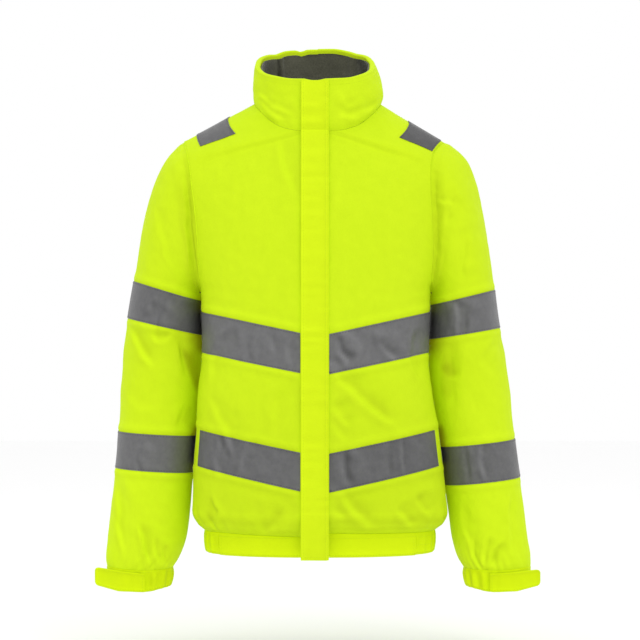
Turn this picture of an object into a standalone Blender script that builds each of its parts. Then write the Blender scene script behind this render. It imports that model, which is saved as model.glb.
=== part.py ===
"""Hi-vis work jacket, filled out as when worn, with no wearer.

+Z is up, the front faces -Y and the wearer's right is -X. The origin is the middle of the
neck's base. Every piece is a closed wall of cloth lofted through the sections in the tables.
"""

import math
from collections import namedtuple

import bpy
import numpy as np

# ------------------------------------------------------------------ driving sizes, metres
CLOTH = 0.0024            # padded shell cloth
COLLAR_CLOTH = 0.0085     # collar's outer wall with its padding
LINING_CLOTH = 0.0016
BAND_CLOTH = 0.0026
FLAP_CLOTH = 0.0032
TAB_CLOTH = 0.0028
TAPE_CLOTH = 0.0010
SEAM_GAP = 0.0004         # between two sewn edges
LAY_GAP = 0.0004          # under what lies on a panel

FRONT_COLUMNS = 12        # from the tape's inner end to the side seam
FRONT_ROUNDNESS = 2.3     # superellipse power of the torso's sections
SLEEVE_ROUNDNESS = 2.2
EDGE_X = 0.0008           # the fronts' edges stand this far from the middle
FLAP_RIGHT_X = -0.0243    # free edge of the storm flap
FLAP_LEFT_X = 0.0166      # sewn edge of the storm flap
TAPE_CLEARANCE = 0.0006   # between the tapes' inner ends and the flap's edges
SHOULDER_DROP = 0.0015    # the wearer's left shoulder sits this much lower

HEM_BOTTOM_Z = -0.6665
HEM_SAG = 0.0065          # the right front's hem seam dips this much beside the flap
HEM_SAG_FROM_Z = -0.575   # the dip starts at this height
HEM_SAG_FULL_Z = -0.630   # and has its full depth from here down
BAND_SWELL = 0.0006       # the hem band bulges out this much half way down
BAND_TUCK = 0.0012        # the plain band ends lean in this much at the bottom
ELASTIC_TUCK = 0.0020     # the elasticated band leans in this much
ELASTIC_RISE = 0.0005     # and ends this much higher
BAND_RIB_DEPTH = 0.0011
FLAP_BOTTOM_Z = -0.6685
FLAP_TOP_Z = 0.0300
BAND_STITCH_X = 0.145     # where the plain band ends meet the elasticated stretch
BAND_RIBS = 34
CUFF_HEIGHT = 0.0330
CUFF_INNER_CUT = 0.0040   # the cuffs are this much shorter beside the body
CUFF_SAG = 0.0030         # the cuff seams dip this much in front
CUFF_SWELL = 0.0004       # the cuffs bulge out this much half way down
CUFF_TUCK_OUTER = 0.0006  # a cuff leans in this much on its plain side
CUFF_TUCK_INNER = 0.0041  # and this much on its ribbed side
CUFF_RIB_DEPTH = 0.0010
TAB_START_X = 0.2560      # the tab is sewn on from here
TAB_LEAVE_X = 0.2950      # leaves the cuff here
TAB_END_X = 0.3310        # and ends here
TAB_TOP_Z = [-0.6965, -0.6920]              # at its start and end
TAB_BOTTOM_Z = [-0.7235, -0.7232, -0.7155]  # at its start, where it leaves, and its end
TAB_RISE_RIGHT = 0.0028   # the right tab's free end reaches this much higher
TAB_STAND_OFF = 0.0020
TAB_SPRING = 1.2          # the free end runs this many times as steeply as the cuff
CUFF_RIBS = 9

# ------------------------------------------------------------------ sections of the torso
# Rows run from the hem up to the shoulder seam. "inner" is the front edge and then the
# neckline; "outer" is the side seam and then the armhole. turn is how far round (degrees)
# the section bends from its inner to its outer end.
FrontRow = namedtuple(
    "FrontRow", "name steps inner_x inner_y inner_z outer_y outer_z outer_x_right outer_x_left turn")
FRONT_ROWS = [
    FrontRow("hem", 1, EDGE_X, -0.1280, -0.6305, -0.008, -0.6335, 0.1690, 0.1760, 90),
    FrontRow("tuck", 1, EDGE_X, -0.1400, -0.6190, -0.014, -0.6215, 0.1785, 0.1875, 90),
    FrontRow("blouse", 2, EDGE_X, -0.1475, -0.6010, -0.024, -0.6040, 0.1855, 0.1930, 90),
    FrontRow("waist_tape_low", 2, EDGE_X, -0.1465, -0.5740, -0.030, -0.5340, 0.1835, 0.1865, 90),
    FrontRow("waist_tape_top", 1, EDGE_X, -0.1435, -0.5178, -0.030, -0.4815, 0.1795, 0.1790, 90),
    FrontRow("waist", 2, EDGE_X, -0.1440, -0.4600, -0.030, -0.4250, 0.1765, 0.1695, 90),
    FrontRow("chest_tape_low", 2, EDGE_X, -0.1480, -0.4025, -0.030, -0.3690, 0.1695, 0.1640, 90),
    FrontRow("chest_tape_top", 1, EDGE_X, -0.1500, -0.3448, -0.028, -0.3090, 0.1715, 0.1665, 90),
    FrontRow("underarm", 2, EDGE_X, -0.1505, -0.3180, -0.020, -0.2835, 0.1735, 0.1680, 90),
    FrontRow("armhole_low", 2, EDGE_X, -0.1490, -0.2600, -0.056, -0.2600, 0.1740, 0.1680, 76),
    FrontRow("armhole_notch", 1, EDGE_X, -0.1430, -0.2000, -0.073, -0.2150, 0.1770, 0.1700, 64),
    FrontRow("armhole_middle", 1, EDGE_X, -0.1320, -0.1450, -0.077, -0.1700, 0.1805, 0.1685, 60),
    FrontRow("armhole_high", 2, EDGE_X, -0.1140, -0.0920, -0.074, -0.1280, 0.1850, 0.1665, 56),
    FrontRow("neck_base", 1, EDGE_X, -0.0900, -0.0437, -0.066, -0.0960, 0.1890, 0.1670, 50),
    FrontRow("neck_front", 1, 0.0290, -0.0873, -0.0430, -0.060, -0.0855, 0.1912, 0.1682, 47),
    FrontRow("neck_side", 3, 0.0545, -0.0768, -0.0365, -0.053, -0.0760, 0.1930, 0.1700, 44),
    FrontRow("neck_shoulder", 1, 0.0850, -0.0470, -0.0115, -0.034, -0.0625, 0.1970, 0.1790, 38),
    FrontRow("near_shoulder", 1, 0.0935, -0.0230, -0.0005, -0.016, -0.0550, 0.1990, 0.1870, 33),
    FrontRow("shoulder", 0, 0.0953, -0.0010, 0.0030, 0.000, -0.0530, 0.1990, 0.1900, 30),
]

# The back shares the fronts' side and shoulder seams, row by row.
BackRow = namedtuple("BackRow", "name inner_x inner_y inner_z outer_y outer_x_right outer_x_left")
BACK_ROWS = [
    BackRow("hem", 0.0, 0.1180, -0.6345, -0.008, 0.1690, 0.1760),
    BackRow("tuck", 0.0, 0.1310, -0.6230, -0.014, 0.1785, 0.1875),
    BackRow("blouse", 0.0, 0.1400, -0.6060, -0.024, 0.1855, 0.1930),
    BackRow("waist_tape_low", 0.0, 0.1370, -0.5520, -0.030, 0.1835, 0.1865),
    BackRow("waist_tape_top", 0.0, 0.1310, -0.4970, -0.030, 0.1795, 0.1790),
    BackRow("waist", 0.0, 0.1320, -0.4400, -0.030, 0.1765, 0.1695),
    BackRow("chest_tape_low", 0.0, 0.1380, -0.3850, -0.030, 0.1695, 0.1640),
    BackRow("chest_tape_top", 0.0, 0.1420, -0.3260, -0.028, 0.1715, 0.1665),
    BackRow("underarm", 0.0, 0.1440, -0.2970, -0.020, 0.1735, 0.1680),
    BackRow("armhole_low", 0.0, 0.1470, -0.2350, 0.036, 0.1755, 0.1695),
    BackRow("armhole_notch", 0.0, 0.1460, -0.1750, 0.074, 0.1790, 0.1725),
    BackRow("armhole_middle", 0.0, 0.1390, -0.1200, 0.083, 0.1830, 0.1750),
    BackRow("armhole_high", 0.0, 0.1220, -0.0640, 0.080, 0.1870, 0.1765),
    BackRow("neck_base", 0.0, 0.0760, 0.0080, 0.071, 0.1905, 0.1790),
    BackRow("neck_front", 0.0250, 0.0735, 0.0082, 0.0645, 0.1922, 0.1800),
    BackRow("neck_side", 0.0470, 0.0660, 0.0085, 0.057, 0.1940, 0.1815),
    BackRow("neck_shoulder", 0.0720, 0.0500, 0.0080, 0.037, 0.1970, 0.1845),
    BackRow("near_shoulder", 0.0890, 0.0240, 0.0060, 0.018, 0.1990, 0.1885),
    BackRow("shoulder", 0.0953, -0.0010, 0.0030, 0.000, 0.1990, 0.1900),
]

# ------------------------------------------------------------------ sections of the sleeves
# Each ring spans from its outer (away) point to its point next to the body (near).
SleeveRing = namedtuple("SleeveRing", "name steps away_x away_z near_x near_z half_depth mid_y")
SLEEVE_RINGS_RIGHT = [
    SleeveRing("armhole", 1, 0.1990, -0.0530, 0.1735, -0.2835, 0.0780, 0.000),
    SleeveRing("cap_first", 1, 0.2130, -0.0645, 0.1750, -0.2822, 0.0830, 0.003),
    SleeveRing("cap_second", 1, 0.2330, -0.0890, 0.1762, -0.2826, 0.0855, 0.006),
    SleeveRing("cap_third", 1, 0.2485, -0.1260, 0.1768, -0.2840, 0.0865, 0.010),
    SleeveRing("cap_fourth", 2, 0.2595, -0.1640, 0.1768, -0.2860, 0.0865, 0.014),
    SleeveRing("upper_tape_top", 2, 0.2765, -0.2625, 0.1760, -0.2930, 0.0860, 0.020),
    SleeveRing("upper_tape_low", 1, 0.2855, -0.3180, 0.1722, -0.3440, 0.0840, 0.022),
    SleeveRing("above_elbow", 2, 0.2930, -0.3750, 0.1722, -0.3950, 0.0810, 0.022),
    SleeveRing("elbow", 1, 0.2960, -0.4350, 0.1775, -0.4470, 0.0770, 0.020),
    SleeveRing("lower_tape_top", 2, 0.2985, -0.4875, 0.1818, -0.4940, 0.0730, 0.016),
    SleeveRing("lower_tape_low", 2, 0.3025, -0.5420, 0.1870, -0.5490, 0.0690, 0.012),
    SleeveRing("forearm", 1, 0.3095, -0.6000, 0.1912, -0.6050, 0.0620, 0.006),
    SleeveRing("wrist", 1, 0.3130, -0.6440, 0.1960, -0.6440, 0.0560, 0.001),
    SleeveRing("gather", 1, 0.3160, -0.6720, 0.2060, -0.6730, 0.0500, -0.003),
    SleeveRing("cuff_seam", 0, 0.3150, -0.6870, 0.2160, -0.6900, 0.0430, -0.006),
]
SLEEVE_RINGS_LEFT = [
    SleeveRing("armhole", 1, 0.1900, -0.0530, 0.1680, -0.2835, 0.0780, 0.000),
    SleeveRing("cap_first", 1, 0.2090, -0.0640, 0.1695, -0.2825, 0.0830, 0.003),
    SleeveRing("cap_second", 1, 0.2265, -0.0820, 0.1706, -0.2835, 0.0855, 0.006),
    SleeveRing("cap_third", 1, 0.2405, -0.1165, 0.1712, -0.2850, 0.0865, 0.010),
    SleeveRing("cap_fourth", 2, 0.2485, -0.1560, 0.1714, -0.2880, 0.0865, 0.014),
    SleeveRing("upper_tape_top", 2, 0.2665, -0.2755, 0.1708, -0.2990, 0.0860, 0.020),
    SleeveRing("upper_tape_low", 1, 0.2745, -0.3325, 0.1675, -0.3500, 0.0840, 0.022),
    SleeveRing("above_elbow", 2, 0.2830, -0.3770, 0.1668, -0.3950, 0.0810, 0.022),
    SleeveRing("elbow", 1, 0.2900, -0.4350, 0.1738, -0.4500, 0.0770, 0.020),
    SleeveRing("lower_tape_top", 2, 0.2960, -0.4990, 0.1840, -0.5110, 0.0730, 0.016),
    SleeveRing("lower_tape_low", 2, 0.3040, -0.5560, 0.1912, -0.5680, 0.0690, 0.012),
    SleeveRing("forearm", 1, 0.3105, -0.6030, 0.1965, -0.6080, 0.0620, 0.006),
    SleeveRing("wrist", 1, 0.3150, -0.6440, 0.2010, -0.6440, 0.0560, 0.001),
    SleeveRing("gather", 1, 0.3190, -0.6720, 0.2090, -0.6730, 0.0500, -0.003),
    SleeveRing("cuff_seam", 0, 0.3190, -0.6870, 0.2185, -0.6900, 0.0430, -0.006),
]
CAP_RINGS = 5             # rings over which the armhole's shape fades into the oval ones

# ------------------------------------------------------------------ shoulder tapes
# Each covers the torso's columns from first to last. Its inner and outer ends cut into the
# first and last cells by these shares, at its lowest row and at the shoulder seam.
ShoulderTape = namedtuple("ShoulderTape", "first last inner_low inner_top outer_low outer_top")
SHOULDER_TAPES = {
    "right": ShoulderTape(2, 8, 0.90, 0.16, 0.66, 0.30),
    "left": ShoulderTape(3, 11, 0.92, 0.02, 0.80, 0.10),
}

# ------------------------------------------------------------------ large folds
# Each fold is a soft trough (depth below zero) or ridge along a line seen from the front.
Fold = namedtuple("Fold", "piece face start_x start_z end_x end_z width depth")
FOLDS = [
    Fold("front", -1, -0.085, -0.640, -0.050, -0.585, 0.012, -0.0060),
    Fold("front", -1, -0.058, -0.630, -0.028, -0.590, 0.010, 0.0040),
    Fold("front", -1, -0.156, -0.625, -0.152, -0.595, 0.010, -0.0060),
    Fold("front", -1, 0.040, -0.585, 0.088, -0.630, 0.012, -0.0060),
    Fold("front", -1, 0.128, -0.600, 0.158, -0.635, 0.010, -0.0060),
    Fold("front", -1, 0.030, -0.405, 0.115, -0.480, 0.014, -0.0045),
    Fold("front", -1, 0.024, -0.455, 0.050, -0.500, 0.012, -0.0040),
    Fold("front", -1, -0.052, -0.045, -0.028, -0.130, 0.014, -0.0025),
    Fold("back", 1, -0.120, -0.640, -0.075, -0.575, 0.014, -0.0060),
    Fold("back", 1, 0.110, -0.640, 0.060, -0.585, 0.014, -0.0060),
    Fold("back", 1, -0.020, -0.630, 0.015, -0.590, 0.013, -0.0050),
    Fold("back", 1, -0.150, -0.430, -0.060, -0.470, 0.016, -0.0050),
    Fold("back", 1, 0.155, -0.400, 0.070, -0.455, 0.016, -0.0050),
    Fold("back", 1, -0.165, -0.215, -0.120, -0.290, 0.016, -0.0040),
    Fold("back", 1, 0.160, -0.205, 0.115, -0.285, 0.016, -0.0040),
    Fold("sleeve", -1, -0.205, -0.355, -0.178, -0.460, 0.014, -0.0090),
    Fold("sleeve", -1, -0.278, -0.330, -0.240, -0.390, 0.013, -0.0050),
    Fold("sleeve", -1, -0.232, -0.345, -0.205, -0.350, 0.010, -0.0040),
    Fold("sleeve", -1, -0.295, -0.560, -0.290, -0.660, 0.012, -0.0035),
    Fold("sleeve", -1, -0.196, -0.110, -0.188, -0.285, 0.014, -0.0060),
    Fold("sleeve", -1, 0.178, -0.110, 0.180, -0.285, 0.014, -0.0060),
    Fold("sleeve", -1, 0.212, -0.135, 0.195, -0.185, 0.012, -0.0050),
    Fold("sleeve", -1, 0.228, -0.185, 0.226, -0.265, 0.012, 0.0035),
    Fold("sleeve", -1, 0.190, -0.350, 0.182, -0.460, 0.014, -0.0080),
    Fold("sleeve", -1, 0.275, -0.655, 0.255, -0.690, 0.010, -0.0050),
    Fold("sleeve", 1, -0.285, -0.330, -0.215, -0.400, 0.015, -0.0060),
    Fold("sleeve", 1, -0.285, -0.410, -0.205, -0.430, 0.014, -0.0055),
    Fold("sleeve", 1, -0.260, -0.170, -0.215, -0.270, 0.015, -0.0050),
    Fold("sleeve", 1, 0.280, -0.350, 0.210, -0.410, 0.015, -0.0060),
    Fold("sleeve", 1, 0.285, -0.425, 0.205, -0.440, 0.014, -0.0055),
    Fold("sleeve", 1, 0.245, -0.160, 0.210, -0.265, 0.015, -0.0050),
    Fold("collar", -1, -0.092, 0.020, -0.030, -0.020, 0.010, -0.0030),
    Fold("collar", -1, 0.028, 0.025, 0.060, 0.000, 0.010, -0.0030),
    Fold("collar", -1, 0.020, -0.015, 0.090, 0.010, 0.009, -0.0025),
]
HEM_GATHERS = 7           # waves across the back just above the hem band
HEM_GATHER_DEPTH = 0.0040
CUFF_GATHERS = 7          # waves round each sleeve just above its cuff
CUFF_GATHER_DEPTH = 0.0026

# ------------------------------------------------------------------ collar
# The rim's ring, by the angle round the neck from the middle of the front.
NECK_CENTRE_Y = -0.006
RIM_ROUNDNESS = 2.5
RIM_HALF_WIDTH_RIGHT = 0.0935
RIM_HALF_WIDTH_LEFT = 0.0868
RIM_FRONT_REACH = 0.0830
RIM_BACK_REACH = 0.0830
RIM_FRONT_Z = 0.0300
RIM_BACK_Z = 0.0890
COLLAR_SWELL_RIGHT = 0.0020  # how far its walls swell out at half height
COLLAR_SWELL_LEFT = 0.0065
NECK_BLEND_X = 0.05       # the two swells blend between here and the other side
COLLAR_ROLL = 0.0035      # radius of the rolled rim
LINING_SET_BACK = 0.08    # share of a row by which the lining stops short of rim and seam

# ------------------------------------------------------------------ finishes
YELLOW = (0.62, 0.90, 0.02)
SILVER = (0.14, 0.14, 0.135)
LINING_GREY = (0.085, 0.083, 0.075)


def make_material(name, color, roughness):
    """A plain cloth finish."""
    material = bpy.data.materials.new(name)
    material.use_nodes = True
    shader = material.node_tree.nodes["Principled BSDF"]
    shader.inputs["Base Color"].default_value = (*color, 1.0)
    shader.inputs["Roughness"].default_value = roughness
    shader.inputs["Metallic"].default_value = 0.0
    return material


def smooth(values, t):
    """Monotone cubic through equally spaced values (rows of an array) at places t."""
    values = np.asarray(values, dtype=float)
    steps = np.diff(values, axis=0)
    slopes = np.zeros_like(values)
    before, after = steps[:-1], steps[1:]
    same_way = before * after > 0
    total = np.where(same_way, before + after, 1.0)
    slopes[1:-1] = np.where(same_way, 2 * before * after / total, 0.0)
    slopes[0], slopes[-1] = steps[0], steps[-1]
    t = np.asarray(t, dtype=float)
    left = np.clip(t.astype(int), 0, len(values) - 2)
    u = (t - left).reshape([-1] + [1] * (values.ndim - 1))
    low, high = values[left], values[left + 1]
    slope_low, slope_high = slopes[left], slopes[left + 1]
    return (low * (2 * u**3 - 3 * u**2 + 1) + slope_low * (u**3 - 2 * u**2 + u)
            + high * (3 * u**2 - 2 * u**3) + slope_high * (u**3 - u**2))


def levels_of(table):
    """Places of the lofted rows, in units of table rows, from each row's steps."""
    levels = []
    for number, row in enumerate(table):
        for step in range(row.steps):
            levels.append(number + step / row.steps)
    levels.append(len(table) - 1.0)
    return np.array(levels)


def level_index(table, name):
    """The lofted row at which a named table row lies."""
    count = 0
    for row in table:
        if row.name == name:
            return count
        count += row.steps
    raise ValueError(name)


def unit(vectors):
    """Vectors scaled to length one."""
    return vectors / np.linalg.norm(vectors, axis=-1, keepdims=True)


def fade(value, low, high):
    """0 below low, 1 above high, and a smooth step between."""
    u = np.clip((value - low) / (high - low), 0.0, 1.0)
    return u * u * (3 - 2 * u)


def uneven_shoulders(points):
    """The wearer's left shoulder hangs a little lower than the right."""
    points = points.copy()
    points[..., 2] -= (SHOULDER_DROP * fade(points[..., 0], 0.03, 0.11)
                       * fade(points[..., 2], -0.20, -0.08))
    return points


def grid_normals(points, inside, closed=False):
    """Outward unit normals of a grid of points; inside holds points within the garment."""
    along = np.gradient(points, axis=0)
    if closed:
        ring = points[:, :-1]
        across = np.roll(ring, -1, axis=1) - np.roll(ring, 1, axis=1)
        across = np.concatenate([across, across[:, :1]], axis=1)
    else:
        across = np.gradient(points, axis=1)
    normals = np.cross(along, across)
    away = points - inside
    flip = np.sign(np.sum(normals * away, axis=-1, keepdims=True))
    return unit(normals * flip)


# ------------------------------------------------------------------ torso
FRONT_LEVELS = levels_of(FRONT_ROWS)
UNDERARM_ROW = level_index(FRONT_ROWS, "underarm")
NECK_ROW = level_index(FRONT_ROWS, "neck_base")


def column_shares(first_share):
    """How far across its row each column lies; the first lies under the flap's edge."""
    power = FRONT_ROUNDNESS / 2
    first_angle = math.asin(first_share ** power)
    angles = first_angle + (math.pi / 2 - first_angle) * np.linspace(0, 1, FRONT_COLUMNS)
    return np.concatenate([[0.0], np.sin(angles) ** (1 / power)])


def bend(shares, turn):
    """How far a section has gone back (0 to 1) at each share of its width."""
    reach = math.sin(math.radians(turn)) ** (2 / FRONT_ROUNDNESS)
    depth = 1 - (1 - (shares * reach) ** FRONT_ROUNDNESS) ** (1 / FRONT_ROUNDNESS)
    return depth / depth[-1]


def torso_grid(inner, outer, turns, flap_x, mirror):
    """Points of half the torso: rows from hem to shoulder, columns from middle to side."""
    grid = []
    for start, end, turn in zip(inner, outer, turns):
        width = end[0] - start[0]
        first_share = (flap_x - start[0]) / width if start[0] < 2 * EDGE_X else flap_x / width
        shares = column_shares(min(first_share, 0.2))
        row = np.empty((len(shares), 3))
        row[:, 0] = mirror * (start[0] + width * shares)
        row[:, 1] = start[1] + (end[1] - start[1]) * bend(shares, turn)
        row[:, 2] = start[2] + (end[2] - start[2]) * shares
        grid.append(row)
    return np.array(grid)


def table_points(table, *columns):
    """Named columns of a table, lofted at the rows' levels."""
    values = [[getattr(row, column) for column in columns] for row in table]
    return smooth(values, FRONT_LEVELS)


def half_torso(side, face):
    """Grid of one front (face -1) or half of the back (face 1); side is right or left."""
    mirror = -1 if side == "right" else 1
    flap_x = -FLAP_RIGHT_X if side == "right" else FLAP_LEFT_X
    outer_z = table_points(FRONT_ROWS, "outer_z")
    turns = table_points(FRONT_ROWS, "turn")[:, 0]
    table = FRONT_ROWS if face < 0 else BACK_ROWS
    inner = table_points(table, "inner_x", "inner_y", "inner_z")
    outer_xy = table_points(table, "outer_x_" + side, "outer_y")
    outer = np.concatenate([outer_xy, outer_z], axis=1)
    if face > 0:
        turns = 90 - (90 - turns) * 0.9
        turns[-1] = 30
    points = torso_grid(inner, outer, turns, flap_x + TAPE_CLEARANCE, mirror)
    if face < 0 and side == "right":
        beside_flap = np.clip(1 + points[..., 0] / BAND_STITCH_X, 0.0, 1.0)
        points[..., 2] -= HEM_SAG * beside_flap * fade(-points[..., 2], -HEM_SAG_FROM_Z,
                                                     -HEM_SAG_FULL_Z)
    return uneven_shoulders(points)


def torso_inside(points):
    """Points on the torso's and shoulders' inner axis, against which outward is judged."""
    inside = points * (0.55, 0.0, 1.0)
    inside[..., 2] -= 0.09 * fade(points[..., 2], -0.30, -0.10)
    return inside


def share_normals(first, second):
    """Give two seam edges the mean of their normals."""
    mean = unit(first + second)
    first[...] = mean
    second[...] = mean


def fold_depth(piece, points, normals):
    """How far the folds of one piece move each of its points outward."""
    depth = np.zeros(points.shape[:-1])
    x, z = points[..., 0], points[..., 2]
    for fold in FOLDS:
        if fold.piece != piece:
            continue
        run_x, run_z = fold.end_x - fold.start_x, fold.end_z - fold.start_z
        length = math.hypot(run_x, run_z)
        along = ((x - fold.start_x) * run_x + (z - fold.start_z) * run_z) / length**2
        aside = ((x - fold.start_x) * run_z - (z - fold.start_z) * run_x) / length
        swell = np.exp(-(aside / fold.width) ** 2)
        ends = fade(along, -0.15, 0.25) * (1 - fade(along, 0.75, 1.15))
        facing = fade(normals[..., 1] * fold.face, 0.0, 0.5)
        depth += fold.depth * swell * ends * facing
    return depth


def make_torso():
    """Grids and normals of the fronts and of the back's halves, seams matched."""
    torso = {}
    for side in ("right", "left"):
        for face in (-1, 1):
            points = half_torso(side, face)
            torso[side, face] = [points, grid_normals(points, torso_inside(points))]
    for face in (-1, 1):
        right, left = torso["right", face][1], torso["left", face][1]
        share_normals(right[:NECK_ROW + 1, 0], left[:NECK_ROW + 1, 0])
    for side in ("right", "left"):
        front, back = torso[side, -1][1], torso[side, 1][1]
        share_normals(front[:UNDERARM_ROW + 1, -1], back[:UNDERARM_ROW + 1, -1])
        share_normals(front[-1], back[-1])
        for normals in (front, back):
            normals[0, :, 2] = 0.0
            normals[0] = unit(normals[0])
    return torso


def fold_torso(torso):
    """Move the torso's points by their folds and gathers."""
    for (side, face), (points, normals) in torso.items():
        depth = fold_depth("front" if face < 0 else "back", points, normals)
        if face < 0:
            middle = (FLAP_RIGHT_X + FLAP_LEFT_X) / 2
            depth *= fade(np.abs(points[..., 0] - middle), 0.021, 0.034)
        above_hem = points[..., 2] - points[:1, :, 2]
        columns = np.linspace(0, 1, points.shape[1])
        waves = np.cos(HEM_GATHERS * math.pi * columns)
        strength = 1.0 if face > 0 else fade(columns, 0.25, 0.6)
        depth += (HEM_GATHER_DEPTH * waves * strength * fade(above_hem, 0.0, 0.014)
                  * (1 - fade(above_hem, 0.02, 0.085)))
        depth[0] = 0.0
        depth[:, -1] *= 0.3
        points += normals * depth[..., None]


def inset_edges(points):
    """Draw a grid's four edges in by half a seam gap."""
    points = points.copy()
    shrunk = points.copy()
    for edge, inner in ((np.s_[0], np.s_[1]), (np.s_[-1], np.s_[-2]),
                        (np.s_[:, 0], np.s_[:, 1]), (np.s_[:, -1], np.s_[:, -2])):
        shrunk[edge] += unit(points[inner] - points[edge]) * SEAM_GAP / 2
    return shrunk


# ------------------------------------------------------------------ building walls
def cloth_wall(name, patches, wall, material, lift=0.0):
    """One closed piece: its outer face through the patches' points, its inner face wall deep.

    Each patch is a grid of points with their outward normals. Edges where patches meet are
    joined, and the open border between the outer and inner faces is closed.
    """
    outer, inner, faces, known = [], [], [], {}
    for points, normals in patches:
        rows, columns = points.shape[:2]
        numbers = np.empty((rows, columns), dtype=int)
        for row in range(rows):
            for column in range(columns):
                key = tuple(np.round(points[row, column], 6))
                if key not in known:
                    known[key] = len(outer)
                    normal = normals[row, column]
                    outer.append(points[row, column] + normal * (lift + (wall if lift else 0)))
                    inner.append(outer[-1] - normal * wall)
                numbers[row, column] = known[key]
        for row in range(rows - 1):
            for column in range(columns - 1):
                corner, far = numbers[row, column], numbers[row + 1, column + 1]
                faces.append((corner, numbers[row, column + 1], far))
                faces.append((corner, far, numbers[row + 1, column]))
        first, second, third = (outer[i] for i in faces[-1])
        if np.dot(np.cross(second - first, third - first), normals[-2, -2]) < 0:
            new = 2 * (rows - 1) * (columns - 1)
            faces[-new:] = [face[::-1] for face in faces[-new:]]
    edges = {(face[i], face[(i + 1) % 3]) for face in faces for i in range(3)}
    count = len(outer)
    walls = [tuple(i + count for i in reversed(face)) for face in faces]
    rims = []
    for start, end in sorted(edges):
        if (end, start) not in edges:
            near, far = min(start, end), max(start, end)
            rims.append((end, start, near + count))
            lower = (near + count, far + count) if far == end else (far + count, near + count)
            rims.append((far, *lower))
    return add_object(name, outer + inner, faces + walls + rims, material)


def add_object(name, points, faces, material):
    """A mesh object in the jacket's collection, shaded smooth but for its rims."""
    mesh = bpy.data.meshes.new(name)
    mesh.from_pydata([tuple(float(c) for c in point) for point in points], [],
                     [tuple(int(i) for i in face) for face in faces])
    mesh.materials.append(material)
    mesh.shade_smooth()
    mesh.set_sharp_from_angle(angle=math.radians(50))
    mesh.update()
    piece = bpy.data.objects.new(name, mesh)
    bpy.data.collections[COLLECTION].objects.link(piece)
    return piece


COLLECTION = "hi_vis_work_jacket"


def tape_patch(patch, rows, columns=None):
    """The part of a panel's patch that a tape covers."""
    columns = columns or slice(None)
    points, normals = patch
    return points[rows, columns], normals[rows, columns]


def shoulder_patch(patch, tape, rows):
    """The part of a panel under a shoulder tape: its top rows, between two slanted ends."""
    points, normals = (grid.copy() for grid in tape_patch(
        patch, slice(-rows, None), slice(tape.first, tape.last + 1)))
    for grid in (points, normals):
        inner = np.linspace(tape.inner_low, tape.inner_top, rows)[:, None]
        outer = np.linspace(tape.outer_low, tape.outer_top, rows)[:, None]
        grid[:, 0] = grid[:, 0] * (1 - inner) + grid[:, 1] * inner
        grid[:, -1] = grid[:, -2] * (1 - outer) + grid[:, -1] * outer
    return points, unit(normals)


def row_span(table, low, top):
    """Slice of the lofted rows between two named ones."""
    return slice(level_index(table, low), level_index(table, top) + 1)


# ------------------------------------------------------------------ sleeves
def armhole_loop(torso, side):
    """Points, normals and outward ways round the armhole: underarm, up the front, down the back."""
    loop = []
    for face, rows in ((-1, np.s_[UNDERARM_ROW:]), (1, np.s_[UNDERARM_ROW:-1])):
        points, normals = torso[side, face]
        away = unit(points[rows, -1] - points[rows, -2])
        away[0] = (0.0, 0.0, 1.0)
        loop.append([points[rows, -1], normals[rows, -1], away])
    return [np.concatenate([front, back[::-1]]) for front, back in zip(*loop)]


def rounded(cosine, roundness):
    """A cosine or sine bent from a circle's to a superellipse's."""
    return np.sign(cosine) * np.abs(cosine) ** (2 / roundness)


def oval_ring(away, near, half_depth, mid_y, angles):
    """Points of one sleeve section; angle 0 is away from the body, pi is next to it."""
    centre, half = (away + near) / 2, (away - near) / 2
    reach = rounded(np.cos(angles), SLEEVE_ROUNDNESS)
    depth = rounded(np.sin(angles), SLEEVE_ROUNDNESS)
    ring = centre + reach[:, None] * half
    ring[:, 1] += mid_y + depth * half_depth
    return ring


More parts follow.
